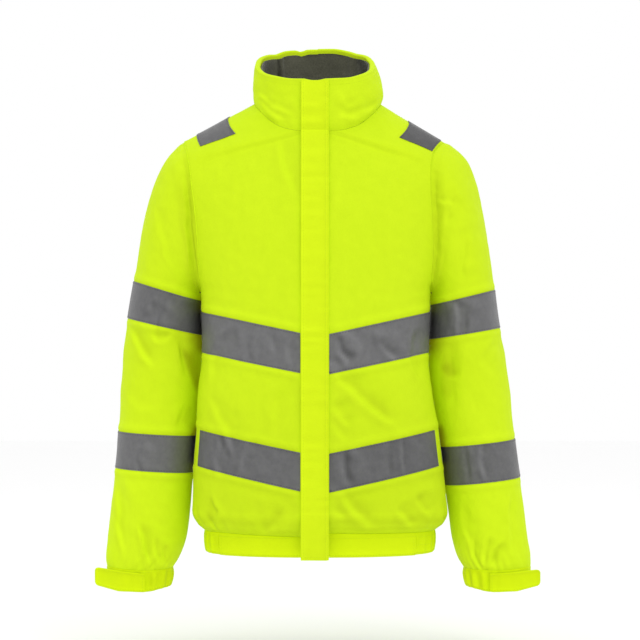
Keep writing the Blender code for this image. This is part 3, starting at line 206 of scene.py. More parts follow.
# ------------------------------------------------------------------ folds
# Creases by piece and by face, the front (-1) or the back (1). Each has its width and depth,
# and then x and z of the points that it runs through, all in millimetres. Below zero, depth is
# a soft trough between two low ridges, and the deeper a trough is, the more painted shade
# darkens its colour; above zero it is one soft ridge. Those of the collar's lining are only
# painted shade on it, dark lines with no fold.
CREASES = {
    ("front", -1): [
        (12, -3.6, -85, -636, -66, -612, -50, -590),
        (10, -2, -62, -622, -40, -600, -22, -586),
        (7.5, -4.5, -156, -628, -153, -600, -158, -578),
        (10, -2.2, -52, -50, -42, -95, -26, -140),
        (11, -3, -120, -330, -145, -372, -152, -420),
        (10, -2.8, -158, -430, -130, -470, -118, -520),
        (12, -2, -30, -400, -52, -440, -60, -490),
        (8, -1.4, -140, -485, -140, -520, -144, -556),
        (9, -1.8, -88, -490, -98, -515, -110, -548),
        (5, -1.2, -64, -340, -60, -372),
        (5, -1.4, -40, -345, -37, -385),
        (11, -4.5, 24, -395, 70, -432, 94, -450, 122, -478),
        (9, -3, 20, -440, 34, -452, 50, -474),
        (8, -2.2, 20, -462, 30, -474, 44, -494),
        (12.5, -4.2, 38, -566, 58, -590, 86, -622),
        (9, -2.2, 20, -590, 32, -598, 44, -606),
        (10.5, -3.8, 118, -592, 132, -604, 148, -622),
        (8, -3.5, 146, -576, 156, -590, 166, -606),
        (4.5, -2.8, 29, -342, 38, -364, 48, -388),
        (5, -2.6, 82, -345, 100, -362, 118, -382),
        (4, -1.8, 19, -376, 34, -392),
        (4.5, -2, 40, -508, 42, -534, 46, -562),
        (4.5, -2.4, 122, -488, 126, -515, 128, -545),
        (9, -3, 150, -330, 142, -372, 152, -410),
        (12, -1.6, 60, -75, 40, -120, 30, -165),
        (9, 2.4, 28, -336, 40, -356, 60, -372),
        (9, 2.2, 78, -336, 96, -356, 110, -366),
        (10, 2.2, 46, -502, 50, -530, 60, -560),
        (10, 2.2, 112, -478, 116, -510, 112, -545),
        (15, 1.6, -104, -486, -116, -512, -130, -545),
        (11, 1.8, -86, -330, -90, -352, -88, -384),
    ],
    ("back", 1): [
        (9, -5.5, -120, -636, -100, -606, -75, -575),
        (9, -5.5, 110, -636, 88, -612, 60, -585),
        (8, -4.5, -20, -628, -6, -610, 15, -590),
        (10, -5, -155, -425, -110, -452, -60, -470),
        (8, -3, -150, -455, -120, -478, -85, -484),
        (10, -5, 158, -395, 115, -432, 70, -455),
        (8, -3, 150, -440, 118, -468, 90, -476),
        (11, -4.5, -165, -200, -148, -250, -120, -295),
        (11, -4.5, 160, -190, 142, -240, 115, -290),
        (13, -2.2, -95, -60, -60, -90, -45, -150),
        (13, -2.2, 100, -62, 70, -95, 58, -145),
        (8, -1.6, -50, -20, 0, -32, 48, -22),
    ],
    ("sleeve", -1): [
        (9, -4.5, -191, -100, -184, -180, -180, -275),
        (11, -7.8, -202, -352, -191, -382, -183, -410, -179, -440),
        (10, -4.5, -277, -330, -262, -352, -242, -388),
        (7.5, -3, -246, -338, -232, -346, -214, -342),
        (10, -4, -188, -440, -194, -462, -204, -482),
        (8, -3.2, -296, -555, -290, -610, -286, -668),
        (6, -4, -262, -620, -254, -648, -246, -682),
        (5, -3.5, -240, -644, -236, -664, -230, -684),
        (4, -2.5, -226, -655, -226, -684),
        (11, -2.2, -236, -150, -222, -200, -206, -250),
        (13, -1.4, -282, -425, -262, -440, -236, -448),
        (9, -4.5, 170, -85, 175, -170, 176, -270),
        (8, -2.4, 178, -141, 190, -142, 204, -146),
        (10, -3, 208, -134, 200, -158, 192, -184),
        (11, 3, 226, -185, 227, -222, 225, -262),
        (11, -4.8, 192, -350, 188, -400, 190, -460),
        (9, -2.4, 182, -385, 196, -398, 212, -404),
        (6, -4.5, 276, -650, 266, -668, 254, -686),
        (5, -3.5, 256, -640, 252, -662, 246, -684),
        (4.5, -2.8, 232, -646, 234, -684),
        (7, -2.6, 214, -590, 222, -630, 234, -668),
        (8, -2.4, 290, -570, 292, -620, 288, -670),
        (13, -1.8, 272, -350, 258, -372, 240, -390),
        (10, 2.6, -216, -292, -224, -316, -232, -345),
        (8, -2.2, -242, -290, -246, -312, -262, -330),
        (8.5, 2.6, 190, -292, 192, -316, 188, -345),
        (7.5, -2.4, 206, -290, 212, -314, 210, -345),
        (9, 2, 236, -286, 226, -314, 222, -345),
        (10, 2.4, -250, -500, -256, -526, -254, -556),
        (9, 2.4, 226, -505, 232, -530, 230, -560),
        (8, -2.2, 250, -500, 246, -530, 252, -560),
    ],
    ("sleeve", 1): [
        (10, -6, -285, -325, -252, -352, -212, -395),
        (9, -5.5, -286, -405, -250, -416, -206, -432),
        (8, -3, -282, -455, -250, -462, -214, -470),
        (11, -4.5, -262, -165, -240, -215, -214, -275),
        (8, -3, -300, -580, -280, -620, -272, -670),
        (10, -6, 280, -345, 248, -368, 208, -408),
        (9, -5.5, 286, -420, 250, -430, 206, -442),
        (11, -4.5, 246, -155, 232, -205, 210, -270),
        (8, -3, 300, -590, 284, -630, 270, -672),
    ],
    ("collar", -1): [
        (7.5, -1.9, -92, 22, -64, 2, -30, -22),
        (6, -1.2, -86, 4, -64, -12, -44, -28),
        (7, -1.6, 28, 28, 46, 0, 62, 4),
        (7, -1.7, 18, -24, 50, -14, 90, 2),
        (6, -1.1, 22, -6, 48, -16, 72, -20),
    ],
    ("collar", 1): [
        (8, -2, -60, 40, -20, 30, 30, 36),
        (8, -2, 40, 60, 55, 30, 50, 10),
    ],
    # painted shade only: dark lines on the collar's lining, with no fold
    ("lining", -1): [
        (4.2, -9, -63, 88, -60, 60, -62, 30),
        (11, -8.5, 58, 86, 70, 66, 72, 30),
        (4, -8, -46, 81, 10, 84, 62, 81),
    ],
}
SHARP_CREASE = 0.0050     # creases up to this width are sharp at the bottom

# ------------------------------------------------------------------ collar
# The rim's ring, by the angle round the neck from the middle of the front.
NECK_CENTRE_Y = -0.006
RIM_ROUNDNESS = 2.5
RIM_HALF_WIDTH_RIGHT = 0.0935
RIM_HALF_WIDTH_LEFT = 0.0868
RIM_REACH = 0.0830        # to the front and to the back
RIM_FRONT_Z = 0.0300
RIM_BACK_Z = 0.0890
COLLAR_SWELL_RIGHT = 0.0020  # how far its walls swell out at half height
COLLAR_SWELL_LEFT = 0.0065
NECK_BLEND_X = 0.05       # the two swells blend between here and the other side
COLLAR_ROLL = 0.0035      # radius of the rolled rim
# Dips of the rim at the back: where, how wide, how deep.
RIM_DIPS = [(-0.026, 0.006, 0.0030), (-0.066, 0.010, 0.0035), (0.064, 0.010, 0.0020)]


# ------------------------------------------------------------------ lofting and soft relief
def smooth(values, t):
    """Monotone cubic through equally spaced values (rows of an array) at places t."""
    values = np.asarray(values, dtype=float)
    steps = np.diff(values, axis=0)
    slopes = np.zeros_like(values)
    before, after = steps[:-1], steps[1:]
    same_way = before * after > 0
    total = np.where(same_way, before + after, 1.0)
    slopes[1:-1] = np.where(same_way, 2 * before * after / total, 0.0)
    slopes[0], slopes[-1] = steps[0], steps[-1]
    left = np.clip(t.astype(int), 0, len(values) - 2)
    u = (t - left)[:, None]
    return (values[left] * (2 * u**3 - 3 * u**2 + 1) + slopes[left] * (u**3 - 2 * u**2 + u)
            + values[left + 1] * (3 * u**2 - 2 * u**3) + slopes[left + 1] * (u**3 - u**2))


def row_steps(table):
    """How many fine rows each stretch between two named rows takes."""
    ends = [((row.inner_x, row.inner_z, row.outer_z) if hasattr(row, "turn")
             else (row.away_x, row.away_z, row.near_z)) for row in table]
    return [max(2, math.ceil(max(math.hypot(b[0] - a[0], b[1] - a[1]), abs(b[2] - a[2]))
                             / ROW_PITCH)) for a, b in zip(ends[:-1], ends[1:])]


def levels_of(table):
    """Places of the lofted rows, in units of table rows."""
    levels = [number + step / count for number, count in enumerate(row_steps(table))
              for step in range(count)]
    return np.array(levels + [len(table) - 1.0])


def level_index(table, name):
    """The lofted row at which a named table row lies."""
    names = [row.name for row in table]
    return sum(row_steps(table)[:names.index(name)])


def tape_rows(table, tape):
    """Slice of the lofted rows that a tape covers."""
    ends = [level_index(table, tape + end) for end in ("_tape_low", "_tape_top")]
    return slice(min(ends), max(ends) + 1)


def unit(vectors):
    """Vectors scaled to length one."""
    return vectors / np.linalg.norm(vectors, axis=-1, keepdims=True)


def level_units(vectors):
    """Vectors laid level and scaled to length one."""
    return unit(vectors * (1.0, 1.0, 0.0))


def fade(value, low, high):
    """0 below low, 1 above high, and a smooth step between."""
    u = np.clip((value - low) / (high - low), 0.0, 1.0)
    return u * u * (3 - 2 * u)


def hump(distance, width):
    """A soft hump, 1 where the distance is nought."""
    return np.exp(-(distance / width) ** 2)


def arc_lengths(points):
    """Distance of each point of a line from its first."""
    steps = np.linalg.norm(np.diff(points, axis=0), axis=1)
    return np.concatenate([[0.0], np.cumsum(steps)])


def soft_noise(points, size, seed):
    """Smooth noise from -1 to 1 with lumps about size metres wide; size may differ by axis."""
    lattice = np.random.default_rng(seed).uniform(-1.0, 1.0, (24, 24, 24))
    place = points / np.asarray(size) + 11.3
    low = np.floor(place).astype(int)
    part = fade(place - low, 0.0, 1.0)
    total = np.zeros(points.shape[:-1])
    for step in np.ndindex(2, 2, 2):
        weight = np.abs(1 - np.array(step) - part).prod(axis=-1)
        corner = (low + step) % 24
        total += weight * lattice[corner[..., 0], corner[..., 1], corner[..., 2]]
    return total


def line_noise(along, size, seed):
    """Smooth noise from -1 to 1 along a line."""
    return soft_noise(np.stack([along, along * 0, along * 0], axis=-1), size, seed)


def lumps(points, layers):
    """Unevenness of a surface: the sum of layers that are so high and so wide, by seed."""
    return sum(height * soft_noise(points, size, seed) for height, size, seed in layers)


def gathers(across, up, seed, spacing, depth, reach):
    """Uneven troughs that run up from a gathered edge; across is the way along the edge."""
    random = np.random.default_rng(seed)
    relief = np.zeros(up.shape)
    place = random.uniform(0.1, 0.6) * spacing
    while place < across[-1]:
        width = spacing * random.uniform(0.20, 0.36)
        height = reach * random.uniform(0.35, 1.0)
        slant = random.uniform(-0.22, 0.22)
        strength = depth * random.uniform(0.4, 1.0)
        sway = 0.0022 * np.sin(up / 0.016 + random.uniform(0, 6))
        relief -= (strength * hump(across - place - slant * up - sway, width)
                   * (1 - fade(up, 0.25 * height, height)))
        place += spacing * random.uniform(0.6, 1.5)
    return relief + 0.35 * depth * (1 - fade(up, 0.1 * reach, 0.7 * reach))


def seam_pucker(distance, along, seed, ditch_depth=0.0011):
    """The ditch of a seam and the small uneven puckers beside it."""
    waves = line_noise(along, 0.0075, seed)
    return (0.0006 * hump(distance - 0.009, 0.006) - ditch_depth * hump(distance, 0.0028)
            + 0.0007 * waves * hump(distance - 0.008, 0.007))


def tape_press(relief, points, table, tapes, hold):
    """Relief of cloth that swells a little beside its tapes and lies flatter under them."""
    for tape in tapes:
        ends = points[tape_rows(table, tape), :, 2][[0, -1]]
        outside = np.maximum(ends.min(axis=0) - points[..., 2], points[..., 2] - ends.max(axis=0))
        relief += 0.0011 * hump(outside - 0.006, 0.005) * (outside > 0)
        relief *= 1 - hold * (outside <= 0)


def crease_relief(piece, points, normals):
    """How far the creases of one piece move each of its points outward."""
    relief = np.zeros(points.shape[:-1])
    x = points[..., 0] + 0.0028 * soft_noise(points, 0.020, 81)
    z = points[..., 2] + 0.0028 * soft_noise(points, 0.020, 82)
    for face in FACES:
        facing = fade(normals[..., 1] * face, 0.0, 0.4)
        for crease_and_painted_shade in CREASES.get((piece, face), ()):
            width, depth, *path = np.array(crease_and_painted_shade) / 1000
            path = np.reshape(path, (-1, 2))
            runs = np.diff(path, axis=0)
            lengths = np.hypot(*runs.T)
            nearest = np.full(x.shape, np.inf)
            along, lean = np.zeros((2, *x.shape))
            passed = 0.0
            for (start_x, start_z), (run_x, run_z), length in zip(path, runs, lengths):
                away_x, away_z = x - start_x, z - start_z
                share = np.clip((away_x * run_x + away_z * run_z) / length**2, 0.0, 1.0)
                distance = np.hypot(away_x - share * run_x, away_z - share * run_z)
                closer = distance < nearest
                aside = (run_x * away_z - run_z * away_x) / length
                lean = np.where(closer, np.clip(aside / width, -1.0, 1.0), lean)
                nearest = np.where(closer, distance, nearest)
                along = np.where(closer, (passed + share * length) / lengths.sum(), along)
                passed += length
            reach = width * (0.75 + 0.5 * np.sin(math.pi * along) ** 2) * (1 + 0.45 * lean)
            profile = np.exp(-(nearest / reach) ** (1 if width <= SHARP_CREASE else 2))
            if depth < 0:
                profile -= 0.20 * hump(nearest - 2.1 * reach, 1.1 * reach)
            ends = fade(along, -0.05, 0.30) * (1 - fade(along, 0.70, 1.05))
            relief += depth * profile * ends * facing
    return relief


# ------------------------------------------------------------------ torso
FRONT_LEVELS = levels_of(FRONT_ROWS)
UNDERARM_ROW = level_index(FRONT_ROWS, "underarm")
NECK_ROW = level_index(FRONT_ROWS, "neck_base")
BLOUSE_ROW = level_index(FRONT_ROWS, "blouse")
TORSO_LUMPS = [(0.0014, (0.050, 0.060, 0.085), 1), (0.0007, (0.022, 0.030, 0.034), 2),
               (0.00022, (0.008, 0.012, 0.010), 3)]
FRONT_GATHERS = (0.10, 0.85)  # their strength in the middle of the front and at its side
LEVEL_BEND = 0.9          # the back bends round this much as the front does above the underarm
BACK_SHOULDER_TURN = 30


def uneven_shoulders(points):
    """The wearer's left shoulder hangs a little lower than the right."""
    points = points.copy()
    points[..., 2] -= (SHOULDER_DROP * fade(points[..., 0], 0.03, 0.11)
                       * fade(points[..., 2], -0.20, -0.08))
    return points


def grid_normals(points, inside, closed=False):
    """Outward unit normals of a grid of points; inside holds points within the garment."""
    along = np.gradient(points, axis=0)
    if closed:
        ring = points[:, :-1]
        across = np.roll(ring, -1, axis=1) - np.roll(ring, 1, axis=1)
        across = np.concatenate([across, across[:, :1]], axis=1)
    else:
        across = np.gradient(points, axis=1)
    normals = np.cross(along, across)
    flip = np.sign(np.sum(normals * (points - inside), axis=-1, keepdims=True))
    return unit(normals * flip)


def torso_grid(inner, outer, turns, flap_x, mirror):
    """Points of half the torso: rows from hem to shoulder, columns from middle to side.

    The first column lies under the flap's edge. A section goes back as a superellipse does.
    """
    power = FRONT_ROUNDNESS / 2
    grid = []
    for start, end, turn in zip(inner, outer, turns):
        width = end[0] - start[0]
        first_share = (flap_x - start[0]) / width if start[0] < 2 * EDGE_X else flap_x / width
        first_angle = math.asin(min(first_share, 0.2) ** power)
        angles = first_angle + (math.pi / 2 - first_angle) * np.linspace(0, 1, FRONT_COLUMNS)
        shares = np.concatenate([[0.0], np.sin(angles) ** (1 / power)])
        reach = math.sin(math.radians(turn)) ** (1 / power)
        depth = 1 - (1 - (shares * reach) ** FRONT_ROUNDNESS) ** (1 / FRONT_ROUNDNESS)
        way = end - start
        grid.append(np.stack([mirror * (start[0] + way[0] * shares),
                              start[1] + way[1] * depth / depth[-1],
                              start[2] + way[2] * shares], axis=1))
    return np.array(grid)


def table_points(table, *columns):
    """Named columns of a table, lofted at the rows' levels."""
    return smooth([[getattr(row, column) for column in columns] for row in table], FRONT_LEVELS)


def half_torso(side, face):
    """Grid of one front (face -1) or half of the back (face 1)."""
    flap_x = -FLAP_RIGHT_X if side == "right" else FLAP_LEFT_X
    turns = table_points(FRONT_ROWS, "turn")[:, 0]
    table = FRONT_ROWS if face < 0 else BACK_ROWS
    inner = table_points(table, "inner_x", "inner_y", "inner_z")
    outer = np.concatenate([table_points(table, "outer_x_" + side, "outer_y"),
                            table_points(FRONT_ROWS, "outer_z")], axis=1)
    if face > 0:
        turns = 90 - (90 - turns) * LEVEL_BEND
        turns[-1] = BACK_SHOULDER_TURN
    points = torso_grid(inner, outer, turns, flap_x + TAPE_CLEARANCE, MIRROR[side])
    if face < 0 and side == "right":
        beside_flap = np.clip(1 + points[..., 0] / BAND_STITCH_X, 0.0, 1.0)
        points[..., 2] -= HEM_SAG * beside_flap * fade(-points[..., 2], -HEM_SAG_FROM_Z,
                                                     -HEM_SAG_FULL_Z)
    return uneven_shoulders(points)


def share_normals(first, second):
    """Give two seam edges the mean of their normals."""
    first[...] = second[...] = unit(first + second)


def make_torso():
    """Grids and normals of the fronts and of the back's halves, seams matched."""
    torso = {}
    for side in SIDES:
        for face in FACES:
            points = half_torso(side, face)
            inside = points * (0.55, 0.0, 1.0)
            inside[..., 2] -= 0.09 * fade(points[..., 2], -0.30, -0.10)
            torso[side, face] = [points, grid_normals(points, inside)]
    for face in FACES:
        share_normals(*(torso[side, face][1][:NECK_ROW + 1, 0] for side in SIDES))
    for side in SIDES:
        front, back = (torso[side, face][1] for face in FACES)
        share_normals(front[:UNDERARM_ROW + 1, -1], back[:UNDERARM_ROW + 1, -1])
        share_normals(front[-1], back[-1])
        for normals in (front, back):
            normals[0] = level_units(normals[0])
    return torso


def fold_torso(torso):
    """Move the torso's points by their creases, gathers, puckers and soft unevenness."""
    for (side, face), (points, normals) in torso.items():
        seed = 10 + 4 * (side == "left") + 2 * (face > 0)
        relief = crease_relief("front" if face < 0 else "back", points, normals)
        relief += lumps(points, TORSO_LUMPS)
        up = points[..., 2] - points[:1, :, 2]
        across = arc_lengths(points[BLOUSE_ROW])
        strength = 1.0
        if face < 0:
            strength = FRONT_GATHERS[0] + (FRONT_GATHERS[1] - FRONT_GATHERS[0]) * fade(
                across / across[-1], 0.50, 0.88)
        relief += strength * gathers(across, up, seed, 0.021, 0.0046, 0.075)
        to_side = across[-1] - across
        down = np.linspace(0, 0.7, len(points))[:, None]
        pucker = seam_pucker(to_side, down, seed + 1)
        pucker[:UNDERARM_ROW + 1] *= 0.35
        relief += pucker + 0.5 * seam_pucker(up, across, seed + 2, 0.0004)
        tape_press(relief, points, FRONT_ROWS, ("chest", "waist"), 0.25)
        if face < 0:
            middle = (FLAP_RIGHT_X + FLAP_LEFT_X) / 2
            relief *= fade(np.abs(points[..., 0] - middle), 0.0205, 0.029)
        relief *= fade(up, -0.002, 0.010)
        relief = np.where(relief < 0, relief, relief * fade(to_side, -0.002, 0.010))
        relief[:, -1] = -0.0008 * (up[:, -1] > 0.004)
        relief[-1] = -0.0006
        points += normals * relief[..., None]


def inset_edges(points):
    """Draw a grid's four edges in by half a seam gap."""
    shrunk = points.copy()
    for edge, inner in ((np.s_[0], np.s_[1]), (np.s_[-1], np.s_[-2]),
                        (np.s_[:, 0], np.s_[:, 1]), (np.s_[:, -1], np.s_[:, -2])):
        shrunk[edge] += unit(points[inner] - points[edge]) * SEAM_GAP / 2
    return shrunk


# ------------------------------------------------------------------ building walls
SHARP_ANGLE = 62.0        # degrees between faces that share no shading


def add_object(name, points, faces, finish):
    """A smooth mesh object with one material, which rides on the jacket's body."""
    mesh = bpy.data.meshes.new(name)
    mesh.from_pydata(np.asarray(points, dtype=float).tolist(), [],
                     [list(map(int, face)) for face in faces])
    mesh.materials.append(finish)
    mesh.shade_smooth()
    mesh.set_sharp_from_angle(angle=math.radians(SHARP_ANGLE))
    mesh.update()
    piece = bpy.data.objects.new(name, mesh)
    bpy.context.scene.collection.objects.link(piece)
    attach(piece, "root")
    return piece


def cloth_wall(name, patches, wall, finish, inside=None, lift=0.0):
    """One closed piece: its outer face through the patches' points, its inner face wall deep.

    Each patch is a grid of points with their outward normals. Edges where patches meet are
    joined, and the open border between the outer and inner faces is closed.
    """
    outer, ways, faces, known = [], [], [], {}
    for points, normals in patches:
        numbers = []
        raised = points + normals * (lift + (wall if lift else 0.0))
        for point, way in zip(raised.reshape(-1, 3), normals.reshape(-1, 3)):
            key = tuple(np.round(point, 6))
            if key not in known:
                known[key] = len(outer)
                outer.append(point)
                ways.append(way)
            numbers.append(known[key])
        numbers = np.array(numbers).reshape(points.shape[:2])
        quads = np.stack([numbers[:-1, :-1], numbers[:-1, 1:], numbers[1:, 1:], numbers[1:, :-1]],
                         axis=-1)
        row, column = quads.shape[0] // 2, quads.shape[1] // 2
        first, second, third, _ = (outer[i] for i in quads[row, column])
        if np.dot(np.cross(second - first, third - first), normals[row, column]) < 0:
            quads = quads[..., ::-1]
        faces.append(quads.reshape(-1, 4))
    outer, ways, faces = np.array(outer), np.array(ways), np.concatenate(faces)
    count = len(outer)
    edges = {(face[i], face[(i + 1) % 4]) for face in faces.tolist() for i in range(4)}
    rims = [(b, a, a + count, b + count) for a, b in sorted(edges) if (b, a) not in edges]
    every = np.concatenate([faces, faces[:, ::-1] + count, np.array(rims)])
    piece = add_object(name, np.concatenate([outer, outer - ways * wall]), every, finish)
    if inside is not None:
        piece.data.materials.append(inside)
        slots = np.zeros(len(every), dtype=np.int32)
        slots[len(faces):2 * len(faces)] = 1
        piece.data.polygons.foreach_set("material_index", slots)
    return piece


# ------------------------------------------------------------------ stitches
STITCH = 0.0031
STITCH_GAP = 0.0012
THREAD = 0.00034          # half a thread's width
# Rings of a stitch: share of its length, and width and height in half threads.
STITCH_RINGS = [(0.0, 0.45, -0.25), (0.5, 1.0, 0.55), (1.0, 0.45, -0.25)]
stitches = {"yellow_stitching": [], "grey_stitching": []}


def inset_line(patch, edge, offset):
    """The line on a patch that runs offset metres in from one of its four edges."""
    points, normals = patch
    if edge in ("first", "last"):
        points, normals = points.swapaxes(0, 1), normals.swapaxes(0, 1)
    if edge in ("last", "top"):
        points, normals = points[::-1], normals[::-1]
    steps = np.linalg.norm(np.diff(points, axis=0), axis=-1)
    arcs = np.concatenate([np.zeros((1, points.shape[1])), np.cumsum(steps, axis=0)])
    after = np.clip((arcs <= offset).sum(axis=0), 1, len(arcs) - 1)
    lines = np.arange(points.shape[1])
    span = arcs[after, lines] - arcs[after - 1, lines]
    share = ((offset - arcs[after - 1, lines]) / span)[:, None]
    return [grid[after - 1, lines] * (1 - share) + grid[after, lines] * share
            for grid in (points, normals)]


def along_line(points, normals, places, arc):
    """Points and unit normals at places along a line with these arc lengths."""
    found, ways = (np.stack([np.interp(places, arc, column) for column in values.T], axis=1)
                   for values in (points, normals))
    return found, unit(ways)


def stitch(line, kind="yellow_stitching", lift=0.0):
    """Note down a row of stitches along a line of points with their outward normals."""
    arc = arc_lengths(line[0])
    starts = np.arange(STITCH_GAP, arc[-1] - STITCH, STITCH + STITCH_GAP)
    if len(starts):
        ways = along_line(*line, starts + STITCH / 2, arc)[1]
        ends = [along_line(*line, starts + step, arc)[0] + ways * lift for step in (0.0, STITCH)]
        stitches[kind].append((*ends, ways))


def sew(patch, edge, *offsets):
    """Stitch rows along an edge of a patch, each so far in from it."""
    for offset in offsets:
        stitch(inset_line(patch, edge, offset))


def make_stitches(name, finish):
    """One piece of all stitches of a kind: each a small lens of thread."""
    starts, ends, ways = (np.concatenate(part) for part in zip(*stitches[name]))
    aside = np.cross(ways, unit(ends - starts))
    corners = []
    for share, width, height in STITCH_RINGS:
        middle = starts * (1 - share) + ends * share + ways * THREAD * height
        corners += [middle + (aside * side + ways * up) * THREAD * width
                    for side, up in ((1, 0), (0, 1), (-1, 0), (0, -1))]
    one = [(ring + corner, ring + (corner + 1) % 4, ring + 4 + (corner + 1) % 4, ring + 4 + corner)
           for ring in (0, 4) for corner in range(4)]
    one += [(3, 2, 1, 0), (8, 9, 10, 11)]
    offsets = np.arange(len(starts)) * len(corners)
    faces = (np.array(one) + offsets[:, None, None]).reshape(-1, 4)
    return add_object(name, np.stack(corners, axis=1).reshape(-1, 3), faces, finish)


# ------------------------------------------------------------------ tapes
SHOULDER_TAPE_COLUMNS = 36
SOLID_COLUMNS = 12        # in the solids a panel has this many columns
SOLID_STEPS = 3           # and this many rows from one row of the table to the next


def tape_patch(patch, rows, columns=slice(None)):
    """The part of a panel's patch that a tape covers."""
    return [grid[rows, columns] for grid in patch]


def shoulder_patch(patch, side, face):
    """The part of a panel under a shoulder tape: its top rows, between two slanted ends."""
    tape = SHOULDER_TAPES[side]
    finer = FRONT_COLUMNS / SOLID_COLUMNS
    names = [row.name for row in FRONT_ROWS]
    start = names.index("neck_side") + (1 if face < 0 else 2) / SOLID_STEPS
    rows = np.nonzero(FRONT_LEVELS >= start - 1e-6)[0]
    up = (FRONT_LEVELS[rows] - start) / (FRONT_LEVELS[-1] - start)
    inner = 1 + (tape.first - 1 + tape.inner_low * (1 - up) + tape.inner_top * up) * finer
    outer = 1 + (tape.last - 2 + tape.outer_low * (1 - up) + tape.outer_top * up) * finer
    places = inner[:, None] + (outer - inner)[:, None] * np.linspace(0, 1, SHOULDER_TAPE_COLUMNS)
    low = np.floor(places).astype(int)
    part = (places - low)[..., None]
    points, normals = (grid[rows[:, None], low] * (1 - part) + grid[rows[:, None], low + 1] * part
                       for grid in patch)
    return points, unit(normals)


# ------------------------------------------------------------------ sleeves
SLEEVE_LUMPS = [(0.0015, (0.050, 0.060, 0.070), 5), (0.0009, (0.024, 0.030, 0.030), 6),
                (0.00022, (0.008, 0.012, 0.010), 7)]
LEFT_LUMPS_SHIFT = 0.9    # so that the sleeves' lumps differ
UNDERARM_SWELL = 0.0022   # the sleeves press on the body below the armholes this much
UNDERARM_SWELL_Z = -0.290


def armhole_loop(torso, side):
    """Points, normals and outward ways round the armhole: underarm, up the front, down the back."""
    loop = []
    for face, rows in ((-1, np.s_[UNDERARM_ROW:]), (1, np.s_[UNDERARM_ROW:-1])):
        points, normals = torso[side, face]
        away = unit(points[rows, -1] - points[rows, -2])
        away[0] = (0.0, 0.0, 1.0)
        loop.append([points[rows, -1], normals[rows, -1], away])
    return [np.concatenate([front, back[::-1]]) for front, back in zip(*loop)]


def rounded(cosine, roundness):
    """A cosine or sine bent from a circle's to a superellipse's."""
    return np.sign(cosine) * np.abs(cosine) ** (2 / roundness)


def sleeve_rings(loop, side, table):
    """Rings of a sleeve's points; an angle of 0 is away from the body, pi is next to it."""
    arc = arc_lengths(loop)
    loop_angles = math.pi + 2 * math.pi * arc / arc[-1]
    even_angles = math.pi + 2 * math.pi * np.linspace(0, 1, len(arc))
    levels = levels_of(table)
    # the solid's rings: one to a table row, then two to each
    passed = levels + np.maximum(levels - (CAP_RINGS - 1), 0.0)
    slides = np.clip((passed - 1) / CAP_RINGS, 0.0, 1.0)
    sags = CUFF_SAG * fade(levels, len(table) - 4, len(table) - 1)
    rings = []
    for (away_x, away_z, near_x, near_z, half_depth, mid_y), slide, sag in zip(
            smooth([row[1:] for row in table], levels), slides, sags):
        angles = loop_angles * (1 - slide) + even_angles * slide
        reach = rounded(np.cos(angles), SLEEVE_ROUNDNESS)
        depth = rounded(np.sin(angles), SLEEVE_ROUNDNESS)
        x = MIRROR[side] * ((away_x + near_x) / 2 + reach * (away_x - near_x) / 2)
        z = (away_z + near_z) / 2 + reach * (away_z - near_z) / 2
        z = z - sag * np.clip(-np.sin(angles), 0.0, 1.0) ** 2
        ring = uneven_shoulders(np.stack([x, mid_y + depth * half_depth, z], axis=1))
        if not rings:
            shift = loop - ring
        rings.append(ring + shift * (1 - slide) ** 2)
    points = np.array(rings)
    points[:, -1] = points[:, 0]
    return points


def make_sleeve(torso, side):
    """Grid and normals of one sleeve, from the armhole down to the cuff."""
    table = SLEEVE_RINGS[side]
    loop, loop_normals, away_from_panel = armhole_loop(torso, side)
    points = sleeve_rings(loop, side, table)
    centres = points[:, :-1].mean(axis=1, keepdims=True)
    normals = grid_normals(points, centres, closed=True)
    normals[0] = loop_normals
    normals[-1] = level_units(normals[-1])
    inward = -normals[..., 0] * MIRROR[side]
    to_front = fade(-normals[..., 1], 0.3, 0.8)
    relief = crease_relief("sleeve", points, normals)
    relief += lumps(points + (LEFT_LUMPS_SHIFT if side == "left" else 0.0), SLEEVE_LUMPS)
    across = arc_lengths(points[level_index(table, "forearm")])
    up = points[..., 2] - points[-1:, :, 2]
    seed = 40 if side == "right" else 50
    relief += (0.24 + 0.61 * fade(inward, -0.5, 0.3)) * gathers(
        across, up, seed, 0.019, 0.0036, 0.055)
    from_seam = np.linalg.norm(points - points[:1], axis=-1)
    relief += seam_pucker(from_seam, arc_lengths(points[0]), seed + 1, 0.0003)
    relief += to_front * (0.0009 * hump(from_seam - 0.024, 0.008)
                          - 0.0018 * hump(from_seam - 0.0085, 0.0060))
    to_body = fade(inward, 0.5, 0.8)
    relief *= 1 - 0.85 * to_body
    tape_press(relief, points, table, ("upper", "lower"), 0.35)
    relief += UNDERARM_SWELL * to_body * hump(points[..., 2] - UNDERARM_SWELL_Z, 0.012)
    relief *= fade(from_seam, -0.001, 0.008) * fade(up, -0.002, 0.008)
    join = fade(np.minimum(across, across[-1] - across), 0.0, 0.02)
    relief = relief * join + (relief[:, :1] + relief[:, -1:]) / 2 * (1 - join)
    relief[0] = 0.0
    points += normals * relief[..., None]
    points[:, -1] = points[:, 0]
    points[0] += away_from_panel * SEAM_GAP / 2
    return points, normals


# ------------------------------------------------------------------ bands
BAND_ROWS = 13
